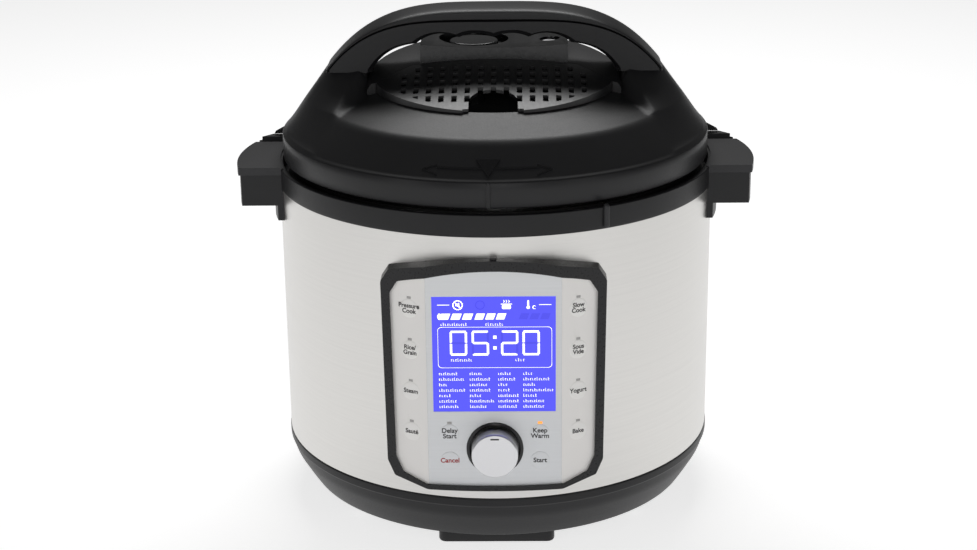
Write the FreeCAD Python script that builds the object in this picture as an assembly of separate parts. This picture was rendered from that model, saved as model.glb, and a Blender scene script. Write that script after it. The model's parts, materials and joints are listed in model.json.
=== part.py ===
import FreeCAD, Part
import math
import os

V = FreeCAD.Vector
UP = V(0, 0, 1)
os.makedirs("parts", exist_ok=True)

# Electric pressure cooker. Millimetres, +Z up, front at -Y, X to the right.
# The origin is on the axis of the round body, in the plane that the feet stand on.

# ---- clearances ----
gap = 0.3                   # between pieces of different moving bodies
shaft_clearance = 0.05      # radial, running fit of the knob's shaft
stem_clearance = 0.6        # radial, around the float, the valve and the button
lug_clearance = 0.4         # between the lid's lugs and those of the locking ring
key_clearance = 0.3         # radial, around the keys
fin_clearance = 0.9         # between the lid's fins and the side handles

# ---- round body ----
body_r = 140.0              # steel shell, outer radius
shell_h = 167.8
shell_wall = 0.8
wall_space = 28.0           # from the pot's wall to the steel's outside
foot_h = 10.0
base_h = 31.8               # plastic base, from its underside to the steel
base_taper = 13.7           # the base is this much narrower at the bottom
base_wall = 3.0
base_lip = 0.4              # the base's rim stands out past the steel
cover_t = 2.5
collar_h = 13.9
collar_proud = 0.8          # the collar stands out past the steel
collar_lip_w = 3.4          # width of the collar's raised outer lip
collar_floor_t = 4.0        # thickness of the flat ring inside the lip
collar_step = 4.2           # the flat ring lies this far above the steel
collar_ledge = 4.4          # the flat ring's bore clears the chamber by this
mark_deg = -61.7            # the open mark, around the axis
mark_r = 2.0

base_bottom_r = body_r - base_taper
base_z = foot_h
shell_z0 = base_z + base_h
shell_z1 = shell_z0 + shell_h
collar_r = body_r + collar_proud
collar_top = shell_z1 + collar_h
collar_floor = shell_z1 + collar_step

# ---- chamber and pot ----
pot_drop = 11.8             # the pot is this much lower than the steel shell
pot_wall = 1.0
pot_rim_w = 4.0             # rolled rim, past the pot's wall
chamber_wall = 1.2
chamber_clearance = 3.0     # between the pot's wall and the chamber
chamber_hole_r = 20.0
flange_w = 8.0              # the chamber's flange on the collar
pot_seat = 1.8              # the pot's rim stands this far above the chamber's flange
plate_margin = 28.0         # the heating plate is this much smaller than the pot
plate_h = 12.0
plate_lift = 4.0            # the heating plate stands this far off the chamber's floor
coil_w = 8.0
sensor_r = 11.0
sensor_h = 16.0
sensor_clearance = 1.5      # radial, in the heating plate
sensor_stem_r = 7.0
spring_h = 10.0
spring_wire = 0.6
spring_turns = 4
stirrup_w = 5.0             # half width of the strap that holds the spring
stirrup_t = 1.5

pot_r = body_r - wall_space
pot_h = shell_h - pot_drop
plate_r = pot_r - plate_margin
chamber_r = pot_r + chamber_clearance
collar_bore_r = chamber_r + chamber_wall + collar_ledge
pot_z1 = collar_floor + chamber_wall + pot_seat
pot_z0 = pot_z1 - pot_h
plate_z1 = pot_z0
plate_z0 = plate_z1 - plate_h
chamber_z = plate_z0 - plate_lift - chamber_wall    # underside of the chamber's floor
sensor_z1 = pot_z0 - 0.1
spring_z0 = sensor_z1 - sensor_h - spring_h

# ---- lid ----
lid_inset = 3.0             # the skirt stands this far inside the steel's radius
lid_gap = 2.6               # air between the collar's lip and the skirt's lower edge
skirt_h = 16.0
lid_wall = 3.0
crease_in = 24.0            # from the skirt to the ridge between steep wall and top
crease_h = 34.4             # above the skirt's lower edge
top_slope = math.radians(16.3)
dome_r = 45.0               # the sloping top rounds off inside this radius
liner_t = 1.2
liner_lift = 10.0           # the liner's disc above the collar's floor
liner_clearance = 2.0       # between the pot's rim and the liner's edge
liner_margin = 12.0         # the liner's disc is this much smaller than the lid
lug_count = 8
lug_deg = 22.0
lug_out = 2.0
seal_w = 15.0               # from the liner's edge to the seal's inner lip
seal_h = 6.0

lid_r = body_r - lid_inset
crease_r = lid_r - crease_in
lid_z0 = collar_top + lid_gap
crease_z = lid_z0 + crease_h
liner_r = pot_r + pot_rim_w + liner_clearance
seal_r0 = liner_r - seal_w
liner_z = collar_floor + liner_lift
edge_z = collar_floor + chamber_wall + 1.0          # lower edge of the liner


def top_z(r):
    """Height of the lid's sloping top at radius r."""
    return crease_z + (crease_r - r) * math.tan(top_slope)


crown_z = top_z(dome_r)

# ---- lid handle ----
arch_in = 6.5               # the handle's ends stand this far inside the ridge
arch_h = 37.8               # from the lid's shoulders to the top of the handle
arch_power = 3.5            # how square the arch is
parting_in = 1.6            # the top cover is this thin at its ends
parting_drop = 7.0          # and this thick in the middle
parting_power = 4.2
opening_in = 29.5           # from the handle's end to the finger opening
opening_h = 17.0            # height of the finger opening
opening_power = 7.0
seam_lift = 2.6             # the shoulders stand this far above the lid's crown
shoulder_out = 9.7          # how far the shoulders bulge at the ridge
shoulder_lean = 16.3        # how far they lean in, up to the handle
shoulder_spread = 76.0      # how much wider they are at the ridge, front to back
grip_depth = 36.0           # front to back
grip_y = -3.0               # middle of the grip, front to back
cover_round = 4.0           # fillet along the top cover
scallop_count = 4
scallop_pitch = 22.0
scallop_r = 25.4
scallop_depth = 5.5
screw_in = 14.5             # the handle's screws, in from its ends
screw_spread = 9.0

arch_w = crease_r - arch_in
arch_seam = crown_z + seam_lift
parting_w = arch_w - parting_in
opening_w = arch_w - opening_in
grip_under = arch_seam + opening_h

# ---- steam diffuser and valve housing ----
tip_in = 3.0                # the lens-shaped cover stops this far short of the handle
lens_front = -83.0
lens_tip_y = -30.0
lens_back = -9.6
diffuser_sphere = 380.0     # the cover is part of a large sphere
diffuser_t = 2.0
diffuser_wall = 1.6
sphere_y = 34.0             # middle of the sphere, behind the axis
sphere_rise = 9.2           # top of the sphere above the lid's crown
plateau_back = 78.0         # the lid follows the same sphere back to here
plateau_corner = 20.0
plateau_draft = math.radians(60.0)
slot_w = 3.4
slot_l = 7.4
slot_pitch_x = 8.0
slot_pitch_y = 10.6
slot_first_y = -68.2
slot_columns = ((6, False), (7, True), (7, True), (7, True), (6, True))
row_bow_r = 196.0           # the rows of slots are arcs of this radius
notch_w = 30.0
notch_back = -66.0
notch_step = 3.6            # small steps beside the thumb notch
housing_w = 94.0
housing_y1 = 46.0
housing_air = 3.5           # between the housing and the grip
housing_dip = 2.1           # the housing's top is hollowed by this much
housing_wall = 2.2
button_x = -13.5
button_y = 19.0
button_r = 16.0
button_air = 6.5            # radial, between the button and its well
button_well_d = 7.0
button_travel = 3.5
button_stem_r = 6.0
float_x = 35.6
float_y = 12.0
float_r = 5.0
float_foot = 3.0            # the float's foot is this much wider
float_foot_t = 1.5
float_travel = 6.0
float_seal_t = 1.8
valve_x = -13.5
valve_y = -38.0
valve_r = 8.0
valve_h = 10.0
valve_stem_r = 4.8
pocket_drop = 18.4          # the pocket under the diffuser, below the lid's crown
pocket_inset = 2.5          # it is this much smaller all round

lens_w = opening_w - tip_in
button_well_r = button_r + button_air
housing_y0 = lens_back + gap
housing_top = grip_under - housing_air
housing_mid = housing_top - housing_dip
pocket_z = crown_z - pocket_drop
diffuser_centre = V(0, sphere_y, crown_z + sphere_rise - diffuser_sphere)

# ---- side handles ----
handle_reach = 25.5         # from the steel to the handle's tip
handle_len = 78.0           # front to back
handle_h = 25.0
handle_wall = 3.0
handle_clearance = 2.2      # the handle keeps clear of the turning lid
handle_skirt_t = 4.6
handle_skirt_h = 20.0       # how far the bracket reaches down the steel
cap_lift = 1.0              # the handle's top above the collar
cap_t = 5.0
cap_over = 1.4              # the cap overhangs the handle
ridge_h = 2.6
slot_gap_y = 25.5           # rest slot for the lid's fin
slot_gap_w = 3.6
fin_y = 33.0
fin_t = 3.0
fin_reach = 11.0

handle_out = body_r + handle_reach
handle_in = lid_r + handle_clearance
handle_top = collar_top + cap_lift
handle_z0 = handle_top - handle_h
fin_out = lid_r + fin_reach

# ---- control panel ----
panel_up = 7.6              # the panel's lowest point above the base
panel_h = 147.6
panel_w = 67.3              # half width at its widest
shoulder_in = 4.8           # the upper corners, in from the sides
shoulder_down = 8.0
side_down = 16.0
side_up = 16.6
side_lean = 1.5             # the sides come in this much at the bottom
low_in = 5.8                # the lower corners
low_up = 7.1
toe_w = 42.0
toe_up = 1.6
frame_side = 5.4            # width of the black frame at the sides
frame_top = 6.4
frame_low = 2.6
frame_proud = 2.0
frame_rim = 1.8
fascia_proud = 4.0          # the flat middle stands this far ahead of the steel
fascia_w = 40.4             # half width of the flat middle
strip_out = 62.0            # half width to the outer edge of the key strips
strip_drop = 9.5            # how far the strips' outer edge stands back
panel_t = 2.0
panel_depth = 9.0           # the frame's own depth behind the fascia
lcd_w = 73.4
lcd_h = 73.2
lcd_up = 88.5               # middle of the display above the panel's lowest point
lcd_t = 1.6
lcd_set_back = 0.2
module_w = 71.0
module_t = 4.5
knob_up = 27.4
knob_r = 14.0
knob_out = 11.6
knob_air = 1.2              # radial, between the knob and its ring
knob_ring_w = 2.0           # the ring's own width
knob_floor_t = 1.2
knob_well_d = 4.5
shaft_r = 3.0
boss_wall = 1.2
key_r = 5.2
key_t = 1.8
key_proud = 0.15
key_side_x = 50.2
key_rows = 4
key_top_up = 116.5
key_pitch = 26.4
key_mid_x = 27.3
key_mid_up = (37.6, 19.8)
lamp_w = 2.6
lamp_h = 1.5
lamp_rise = 1.6             # middle of the lamp above the key's edge

panel_bottom = shell_z0 + panel_up
panel_top = panel_bottom + panel_h
fascia_y = body_r + fascia_proud
lcd_z = panel_bottom + lcd_up
knob_z = panel_bottom + knob_up
knob_ring_r = knob_r + knob_air + knob_ring_w
lamp_up = key_r + lamp_rise
strip_slope = strip_drop / (strip_out - fascia_w)
strip_angle = math.atan(strip_slope)
near_y = body_r - 50.0      # blocks that cut the panel run from here
far_y = body_r + 25.0       # to here, ahead of the axis

# ---- fittings ----
inlet_w = 27.0
inlet_h = 20.0
inlet_wall = 2.0
inlet_depth = 22.0
inlet_proud = 4.0
inlet_up = 15.0             # middle of the inlet above the base's underside
inlet_round = 2.5
pin_t = 2.0
pin_h = 4.0
cup_w = 70.0
cup_h = 42.0
cup_wall = 1.6
cup_drop = 4.0              # the cup hangs this far below the collar
cup_round = 8.0
spout_w = 40.0
spout_wall = 6.0
foot_front_w = 73.0
foot_front_depth = 14.0
foot_front_in = 10.0        # in from the base's lower edge
foot_round = 5.0
screw_r = 2.0
screw_head_r = 3.6
screw_boss_r = 4.5
screw_place = 6.5           # in from the base's wall
rubber_r = 9.6
rubber_stem_r = 3.0
rubber_place = 15.0
vent_w = 3.6
vent_l = 48.0
vent_pitch = 9.0
vent_count = 11
board_in = (56.3, 36.3)     # the power board's left and rear edges, in from the base
board_t = 1.6
board_lift = 8.0

inlet_z = base_z + inlet_up
cup_z1 = shell_z1 - cup_drop
cup_out = fascia_y + knob_out       # the cup stands out as far behind as the knob does in front
tall = collar_top + 200.0           # above everything


# ---- helpers ----

def revolve(points):
    """Solid ring or disc from (radius, height) points, about the Z axis."""
    corners = [V(r, 0, z) for r, z in points]
    corners.append(corners[0])
    face = Part.Face(Part.makePolygon(corners))
    return face.revolve(V(0, 0, 0), UP, 360)


def cylinder(r, z0, z1, x=0.0, y=0.0):
    return Part.makeCylinder(r, z1 - z0, V(x, y, z0), UP)


def tube(r_out, r_in, z0, z1, x=0.0, y=0.0):
    return cylinder(r_out, z0, z1, x, y).cut(cylinder(r_in, z0 - 1, z1 + 1, x, y))


def box(x0, x1, y0, y1, z0, z1):
    return Part.makeBox(x1 - x0, y1 - y0, z1 - z0, V(x0, y0, z0))


def flat_face(points):
    corners = list(points)
    corners.append(corners[0])
    return Part.Face(Part.makePolygon(corners))


def round_edges(solid, radius, direction):
    """Fillet the straight edges that run along a direction."""
    chosen = []
    for edge in solid.Edges:
        if len(edge.Vertexes) == 2 and isinstance(edge.Curve, Part.Line):
            run = (edge.Vertexes[1].Point - edge.Vertexes[0].Point).normalize()
            if abs(run.dot(direction)) > 0.999:
                chosen.append(edge)
    return solid.makeFillet(radius, chosen)


def mirror_x(shape):
    return shape.mirror(V(0, 0, 0), V(1, 0, 0))


def fuse(shapes):
    whole = shapes[0]
    if len(shapes) > 1:
        whole = whole.fuse(shapes[1:])
    return whole.removeSplitter()


def save(name, shape):
    shape.exportStep("parts/" + name + ".step")


def oval_wire(a, b, power, y, z):
    """Closed curve between an ellipse (power 2) and a rounded rectangle (higher powers)."""
    points = []
    count = 32
    for i in range(count):
        t = 2 * math.pi * i / count
        c, s = math.cos(t), math.sin(t)
        x = math.copysign(abs(c) ** (2 / power), c)
        across = math.copysign(abs(s) ** (2 / power), s)
        points.append(V(a * x, y + b * across, z))
    curve = Part.BSplineCurve()
    curve.interpolate(Points=points, PeriodicFlag=True)
    return Part.Wire(curve.toShape())


# ---- round body ----

def steel_shell():
    shell = tube(body_r, body_r - shell_wall, shell_z0, shell_z1)
    window = panel_prism(frame_side - gap, frame_top - gap, frame_low - gap, 0, far_y)
    return shell.cut(window)


def base_outline(inset):
    """Half section of the base's outside, from its top edge to its underside."""
    z1 = shell_z0
    return [(body_r + base_lip - inset, z1), (body_r + base_lip - inset, z1 - 6),
            (body_r - 1.6 - inset, z1 - 12), (base_bottom_r + 4.5 - inset, base_z + 6.5),
            (base_bottom_r - inset, base_z + inset)]


def base_housing():
    shell = revolve(base_outline(0) + list(reversed(base_outline(base_wall))))
    rim = tube(body_r - 2, chamber_r + chamber_wall + 1.5, shell_z0 - base_wall, shell_z0)
    rim = rim.cut(inlet_block(inlet_wall))
    plate = revolve([(base_bottom_r, base_z), (base_bottom_r, base_z + base_wall),
                     (foot_inner(), base_z + base_wall), (foot_inner(), base_z)])
    half = foot_front_w / 2
    reach = box(-half, half, -base_bottom_r, -foot_inner(), base_z - 1, base_z + base_wall + 1)
    bosses = []
    for x, y in base_screw_places():
        bosses.append(cylinder(screw_boss_r, base_z + cover_t, shell_z0 - base_wall, x, y))
    body = fuse([shell, rim, plate.common(reach)] + bosses)
    body = body.cut(inlet_block(0))
    holes = [cylinder(screw_r, base_z - 1, base_z + 16, x, y) for x, y in base_screw_places()]
    return body.cut(holes)


def foot_inner():
    """Radius that the plate above the front foot reaches in to."""
    return base_bottom_r - foot_front_in - foot_front_depth - 2


def front_foot():
    half = foot_front_w / 2
    y = base_bottom_r - foot_front_in
    block = box(-half, half, -y, -(y - foot_front_depth), 0, base_z)
    return round_edges(block, foot_round, UP)


def base_screw_places():
    r = base_bottom_r - base_wall - screw_place
    return [(r * math.cos(math.radians(a)), r * math.sin(math.radians(a))) for a in (40, 140, 220, 320)]


def base_cover():
    plate = cylinder(base_bottom_r - base_wall - 1.2, base_z, base_z + cover_t)
    half = foot_front_w / 2 + 1
    z0, z1 = base_z - 1, base_z + cover_t + 1
    cuts = [box(-half, half, -base_bottom_r, -(foot_inner() - 0.2), z0, z1)]
    for i in range(vent_count):
        x = (i - (vent_count - 1) / 2) * vent_pitch
        cuts.append(box(x - vent_w / 2, x + vent_w / 2, -vent_l / 2, vent_l / 2, z0, z1))
    for x, y in base_screw_places():
        cuts.append(cylinder(screw_r + gap, z0, z1, x, y))
    for x, y in rubber_foot_places():
        cuts.append(cylinder(rubber_stem_r, z0, z1, x, y))
    return plate.cut(cuts)


def rubber_foot_places():
    r = base_bottom_r - rubber_place
    return [(r * math.cos(math.radians(a)), r * math.sin(math.radians(a))) for a in (-14, 62, 118, 194)]


def rubber_feet():
    feet = []
    for x, y in rubber_foot_places():
        pad = revolve([(0, 0), (rubber_r - 1.6, 0), (rubber_r - 0.6, 1.2), (rubber_r, base_z), (0, base_z)])
        stem = cylinder(rubber_stem_r, base_z, base_z + cover_t)
        foot = fuse([pad, stem])
        foot.translate(V(x, y, 0))
        feet.append(foot)
    return Part.makeCompound(feet)


def base_screws():
    screws = []
    for x, y in base_screw_places():
        shank = cylinder(screw_r, base_z, base_z + 12, x, y)
        head = cylinder(screw_head_r, base_z - 2, base_z, x, y)
        slot = box(x - 2.2, x + 2.2, y - 0.5, y + 0.5, base_z - 3, base_z - 1)
        cross = box(x - 0.5, x + 0.5, y - 2.2, y + 2.2, base_z - 3, base_z - 1)
        screws.append(fuse([shank, head]).cut([slot, cross]))
    return Part.makeCompound(screws)


def upper_collar():
    z0, z1 = shell_z1, collar_top
    lip_in = collar_r - collar_lip_w
    ring = revolve([(collar_r - 0.6, z0), (collar_r, z0 + 1), (collar_r, z1 - 0.6), (collar_r - 0.6, z1),
                    (lip_in, z1), (lip_in, collar_floor), (collar_bore_r, collar_floor),
                    (collar_bore_r, collar_floor - collar_floor_t), (body_r - 6, z0 - 0.01),
                    (body_r - 6, z0)])
    a = math.radians(mark_deg)
    x, y = (collar_r + 0.5) * math.cos(a), (collar_r + 0.5) * math.sin(a)
    mark = cylinder(mark_r, z0 + 1.5, z1 + 2.0, x, y)
    return fuse([ring, mark])


def handle_outline(inset):
    """Plan of the right handle: inner side along the lid, outer side bowed, front cut square."""
    half = handle_len / 2
    r_in = handle_in
    x_front = math.sqrt(r_in ** 2 - half ** 2)
    p0 = V(x_front, -half, 0)
    p1 = V(handle_out - 3.0 - inset, -half, 0)
    p2 = V(handle_out - inset, -half * 0.1, 0)
    p3 = V(handle_out - 7.0 - inset, half * 0.72, 0)
    p4 = V(handle_out - 17.0 - inset, half, 0)
    p5 = V(x_front, half, 0)
    p6 = V(r_in, 0, 0)
    edges = [Part.makeLine(p0, p1), Part.Arc(p1, p2, p3).toShape(), Part.makeLine(p3, p4),
             Part.makeLine(p4, p5), Part.Arc(p5, p6, p0).toShape()]
    return Part.Face(Part.Wire(edges))


def handle_block(inset, z0, z1):
    face = handle_outline(inset)
    face.translate(V(0, 0, z0))
    return face.extrude(V(0, 0, z1 - z0))


def right_handle():
    z1 = handle_top - cap_t
    half = handle_len / 2
    low = shell_z1 - handle_skirt_h
    body = handle_block(cap_over, handle_z0, z1)
    hollow = handle_block(cap_over + handle_wall, handle_z0 - 1, z1 - handle_wall)
    hollow = hollow.cut(cylinder(handle_in + handle_wall, 0, z1))
    hollow = hollow.cut(box(0, 2 * body_r, -handle_len, -half + handle_wall, 0, z1))
    hollow = hollow.cut(box(0, 2 * body_r, half - handle_wall, handle_len, 0, z1))
    body = body.cut(hollow).cut(cylinder(collar_r, 0, z1 + 1))
    wedge = box(0, 2 * body_r, -half, half, low, z1)
    skirt = tube(handle_in + handle_skirt_t, collar_r, low, z1).common(wedge)
    lower = tube(handle_in + handle_skirt_t, body_r, low, shell_z1).common(wedge)
    return fuse([body, skirt, lower])


def handle_cap():
    z0 = handle_top - cap_t
    cap = handle_block(0, z0, handle_top)
    half = handle_len / 2
    ridge = box(handle_in - 6, handle_out - 9, slot_gap_y + slot_gap_w, half - 2.5,
                z0, handle_top + ridge_h)
    ridge = ridge.common(handle_block(2.0, z0, handle_top + 10))
    slot = box(handle_in + 1.5, 2 * body_r, slot_gap_y, slot_gap_y + slot_gap_w,
               handle_top - 3.4, handle_top + 5)
    return fuse([cap, ridge]).cut([slot, cylinder(collar_r, 0, collar_top)])


def locking_ring():
    """Steel ring on the collar. Its lugs face the lid's lugs, and stop just short of them."""
    z0 = collar_floor
    r0 = collar_r - collar_lip_w - 8.5
    wall = tube(r0 + 1.6, r0, z0, z0 + 8.4)
    foot = tube(r0 + 6, r0, z0, z0 + 1.2)
    lug_ring = tube(r0 + 0.5, liner_r + lug_out + lug_clearance, z0 + 5.8, z0 + 7.6)
    lugs = lug_ring.common(fuse(lug_wedges(lug_deg)))
    return fuse([wall, foot, lugs])


def lug_wedges(spread_deg):
    """Sector-shaped blocks, one at each lug."""
    wedges = []
    half = math.radians(spread_deg / 2)
    far = 2 * body_r
    for i in range(lug_count):
        a = 2 * math.pi * i / lug_count
        points = [V(0, 0, 0), V(far * math.cos(a - half), far * math.sin(a - half), 0),
                  V(far * math.cos(a + half), far * math.sin(a + half), 0)]
        wedges.append(flat_face(points).extrude(V(0, 0, tall)))
    return wedges


# ---- chamber, heater and electrics ----

def heating_chamber():
    r = chamber_r
    w = chamber_wall
    z0, z1 = chamber_z, collar_floor
    r2 = collar_bore_r + flange_w
    return revolve([(chamber_hole_r, z0), (r + w, z0), (r + w, z1), (r2, z1), (r2, z1 + w),
                    (r, z1 + w), (r, z0 + w), (chamber_hole_r, z0 + w)])


def heating_plate():
    """Cast plate with its heating coil, three legs and the strap under the sensor's spring."""
    bore = sensor_r + sensor_clearance
    plate = revolve([(bore, plate_z0), (plate_r, plate_z0), (plate_r, plate_z1 - 2),
                     (plate_r - 2, plate_z1), (bore, plate_z1)])
    legs = []
    for i in range(3):
        a = math.radians(30 + 120 * i)
        x, y = (plate_r - 3 * coil_w) * math.cos(a), (plate_r - 3 * coil_w) * math.sin(a)
        legs.append(cylinder(4, chamber_z + chamber_wall, plate_z0, x, y))
    coil = tube(plate_r - coil_w, plate_r - 2 * coil_w, plate_z0 - 3, plate_z0)
    coil = coil.common(box(-plate_r, plate_r, -plate_r, plate_r - 3 * coil_w, 0, tall))
    outer = box(-bore - stirrup_t, bore + stirrup_t, -stirrup_w, stirrup_w, spring_z0 - stirrup_t, plate_z0)
    inner = box(-bore, bore, -stirrup_w - 1, stirrup_w + 1, spring_z0, plate_z0 + 1)
    return fuse([plate, coil, outer.cut(inner)] + legs)


def temperature_sensor():
    z1 = sensor_z1
    z0 = z1 - sensor_h
    return revolve([(0, z0), (sensor_stem_r, z0), (sensor_stem_r, z0 + 6), (sensor_r, z0 + 6),
                    (sensor_r, z1 - 1), (sensor_r - 1, z1), (0, z1)])


def sensor_spring():
    """Coil spring under the sensor, as stacked rings."""
    turns = []
    pitch = (spring_h - 2 * spring_wire) / (spring_turns - 1)
    for i in range(spring_turns):
        centre = V(0, 0, spring_z0 + spring_wire + pitch * i)
        turns.append(Part.makeTorus(sensor_stem_r - 1.8, spring_wire, centre, UP))
    return Part.makeCompound(turns)


def power_board():
    x0, y1 = board_in[0] - base_bottom_r, base_bottom_r - board_in[1]
    x1, y0 = x0 + 110, y1 - 70
    z = base_z + cover_t + board_lift
    top = z + board_t
    board = box(x0, x1, y0, y1, z, top)
    parts = [box(x0 + 10, x0 + 34, y0 + 10, y0 + 36, top, top + 10),
             cylinder(6, top, top + 12, x0 + 50, y0 + 20),
             box(x1 - 40, x1 - 22, y0 + 10, y0 + 26, top, top + 12)]
    legs = [cylinder(2.5, z - board_lift, z, x, y) for x in (x0 + 8, x1 - 8) for y in (y0 + 6, y1 - 6)]
    return fuse([board] + parts + legs)


def inlet_block(grow):
    half = inlet_w / 2 + grow
    return box(-half, half, base_bottom_r - inlet_depth - grow, far_y,
               inlet_z - inlet_h / 2 - grow, inlet_z + inlet_h / 2 + grow)


def power_inlet():
    y0 = base_bottom_r - inlet_depth
    y1 = base_bottom_r + inlet_proud
    w, h = inlet_w / 2, inlet_h / 2
    body = box(-w, w, y0, y1, inlet_z - h, inlet_z + h)
    body = round_edges(body, inlet_round, V(0, 1, 0))
    w, h = w - inlet_wall, h - inlet_wall
    socket = box(-w, w, y0 + 3, y1 + 1, inlet_z - h, inlet_z + h)
    pins = []
    for x, z in ((-7, -2), (7, -2), (0, 3)):
        pins.append(box(x - pin_t / 2, x + pin_t / 2, y0 + 3, y1 - 5,
                        inlet_z + z - pin_h / 2, inlet_z + z + pin_h / 2))
    return fuse([body.cut(socket)] + pins)


def condensation_cup():
    y0 = body_r + gap
    y1 = cup_out
    z0 = cup_z1 - cup_h
    half = cup_w / 2
    outer = box(-half, half, y0 - 25, y1, z0, cup_z1)
    outer = round_edges(outer, cup_round, UP)
    inner = box(-half + cup_wall, half - cup_wall, y0 - 25, y1 - cup_wall, z0 + cup_wall, cup_z1 + 1)
    outer = outer.cut(cylinder(y0, z0 - 1, cup_z1 + 1))
    inner = inner.cut(cylinder(y0 + cup_wall, z0 - 1, cup_z1 + 2))
    return outer.cut(inner)


def cup_bracket():
    """Drip spout on the collar, above the condensation cup."""
    half = spout_w / 2
    spout = box(-half, half, body_r - 8, cup_out - 3, cup_z1 + 2 * gap, collar_floor)
    half = half - spout_wall
    drain = box(-half, half, collar_r + 3, cup_out - 6, cup_z1, collar_floor + 1)
    return spout.cut(drain).cut(cylinder(collar_r, 0, tall))


# ---- control panel ----

def panel_outline(side, top, low):
    """Shield-shaped outline in the XZ plane, pulled in by a margin at the side, top and bottom."""
    w = panel_w - side
    z1 = panel_top - top
    z0 = panel_bottom + low
    half = [V(w - shoulder_in, 0, z1 - shoulder_down), V(w, 0, z1 - side_down),
            V(w - side_lean, 0, z0 + side_up), V(w - low_in, 0, z0 + low_up), V(toe_w, 0, z0 + toe_up)]
    other = [V(-p.x, 0, p.z) for p in half]
    edges = [Part.Arc(other[0], V(0, 0, z1), half[0]).toShape(),
             Part.Arc(half[-1], V(0, 0, z0), other[-1]).toShape()]
    for side_points in (half, other):
        for start, end in zip(side_points, side_points[1:]):
            edges.append(Part.makeLine(start, end))
    return Part.Face(Part.Wire(Part.__sortEdges__(edges)))


def panel_prism(side, top, low, y0, y1):
    """The panel's outline as a block that runs towards the front, from y0 to y1 ahead of the axis."""
    face = panel_outline(side, top, low)
    face.translate(V(0, -y0, 0))
    return face.extrude(V(0, -(y1 - y0), 0))


def panel_front(forward):
    """Everything behind the panel's three faces: a flat middle and two sides that slope back."""
    yc = fascia_y + forward
    z = panel_bottom - 10
    x2 = panel_w + 4
    y2 = yc - strip_slope * (x2 - fascia_w)
    points = [V(-x2, -near_y, z), V(-x2, -y2, z), V(-fascia_w, -yc, z), V(fascia_w, -yc, z),
              V(x2, -y2, z), V(x2, -near_y, z)]
    return flat_face(points).extrude(V(0, 0, panel_h + 20))


def panel_layer(front, back):
    return panel_front(front).cut(panel_front(back))


def inner_prism(grow, y0, y1):
    """The block inside the panel's frame, smaller by a margin all round."""
    return panel_prism(frame_side + grow, frame_top + grow, frame_low + grow, y0, y1)


def panel_bezel():
    outer = panel_prism(0, 0, 0, near_y + 10, far_y).common(panel_front(frame_proud))
    frame = outer.cut(inner_prism(0, near_y, far_y + 10))
    frame = frame.cut(cylinder(body_r, 0, tall))
    back = inner_prism(0, near_y + 10, far_y).common(panel_front(-panel_t - 0.01))
    back = back.cut(panel_front(-panel_t - 3))
    half = lcd_h / 2 - 0.5
    back = back.cut([box(-half, half, -far_y, -near_y, lcd_z - half, lcd_z + half),
                     cylinder_y(knob_ring_r, knob_z, 0, near_y, far_y)])
    rim = inner_prism(0, near_y + 10, far_y).cut(inner_prism(frame_rim, near_y, far_y + 10))
    rim = rim.common(panel_front(-panel_t - 0.01)).cut(panel_front(-panel_depth - 4))
    notch = box(-2.0, 2.0, -(fascia_y + 0.6), -(body_r - 2), panel_top - 6, panel_top + 1.6)
    bezel = fuse([frame, back, rim, notch.cut(cylinder(body_r, 0, tall))])
    return bezel.cut(key_tunnels(key_clearance + 0.1))


def cylinder_y(r, z, x, y0, y1):
    """Cylinder along the front-back line, from y0 to y1 ahead of the axis."""
    return Part.makeCylinder(r, y1 - y0, V(x, -y0, z), V(0, -1, 0))


def panel_skin():
    return inner_prism(0, near_y + 10, far_y).common(panel_layer(0, -panel_t))


def lcd_block():
    return box(-lcd_w / 2, lcd_w / 2, -far_y, -near_y, lcd_z - lcd_h / 2, lcd_z + lcd_h / 2)


def panel_fascia():
    skin = panel_skin().common(box(-fascia_w, fascia_w, -far_y, -near_y, 0, tall))
    skin = skin.cut([lcd_block(), cylinder_y(knob_ring_r, knob_z, 0, near_y, far_y)])
    skin = skin.cut(key_tunnels(key_clearance))
    return skin.cut(lamp_blocks())


def key_strip(sign):
    x0, x1 = sorted((sign * fascia_w, sign * 2 * panel_w))
    skin = panel_skin().common(box(x0, x1, -far_y, -near_y, 0, tall))
    skin = skin.cut(key_tunnels(key_clearance))
    return skin.cut(lamp_blocks())


def key_frames():
    """(name, centre on the panel's face, outward direction) of each key."""
    frames = []
    y_side = fascia_y - strip_slope * (key_side_x - fascia_w)
    for side, sign in (("left", -1), ("right", 1)):
        out = V(sign * math.sin(strip_angle), -math.cos(strip_angle), 0)
        for i in range(key_rows):
            centre = V(sign * key_side_x, -y_side, panel_bottom + key_top_up - i * key_pitch)
            frames.append(("%s_key_%d" % (side, i + 1), centre, out))
    middle_keys = (("delay_key", -1, 0), ("cancel_key", -1, 1), ("warm_key", 1, 0), ("start_key", 1, 1))
    for name, sign, row in middle_keys:
        centre = V(sign * key_mid_x, -fascia_y, panel_bottom + key_mid_up[row])
        frames.append((name, centre, V(0, -1, 0)))
    return frames


def key_tunnels(clearance):
    tunnels = []
    for _, centre, out in key_frames():
        tunnels.append(Part.makeCylinder(key_r + clearance, 12, centre - out * 9, out))
    return tunnels


def key_cap(centre, out):
    return Part.makeCylinder(key_r, key_t, centre - out * (key_t - key_proud), out)


def lamp_frames():
    frames = []
    for name, centre, out in key_frames():
        if name in ("cancel_key", "start_key"):
            continue
        frames.append((name, centre + V(0, 0, lamp_up), out))
    return frames


def lamp_block(centre, out):
    across = UP.cross(out)
    w, h = lamp_w / 2, lamp_h / 2
    depth = panel_t * math.cos(strip_angle) - 0.02
    corner = centre - across * w - UP * h - out * depth
    points = [corner, corner + across * 2 * w, corner + across * 2 * w + UP * 2 * h, corner + UP * 2 * h]
    return flat_face(points).extrude(out * (depth + 0.1))


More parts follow.
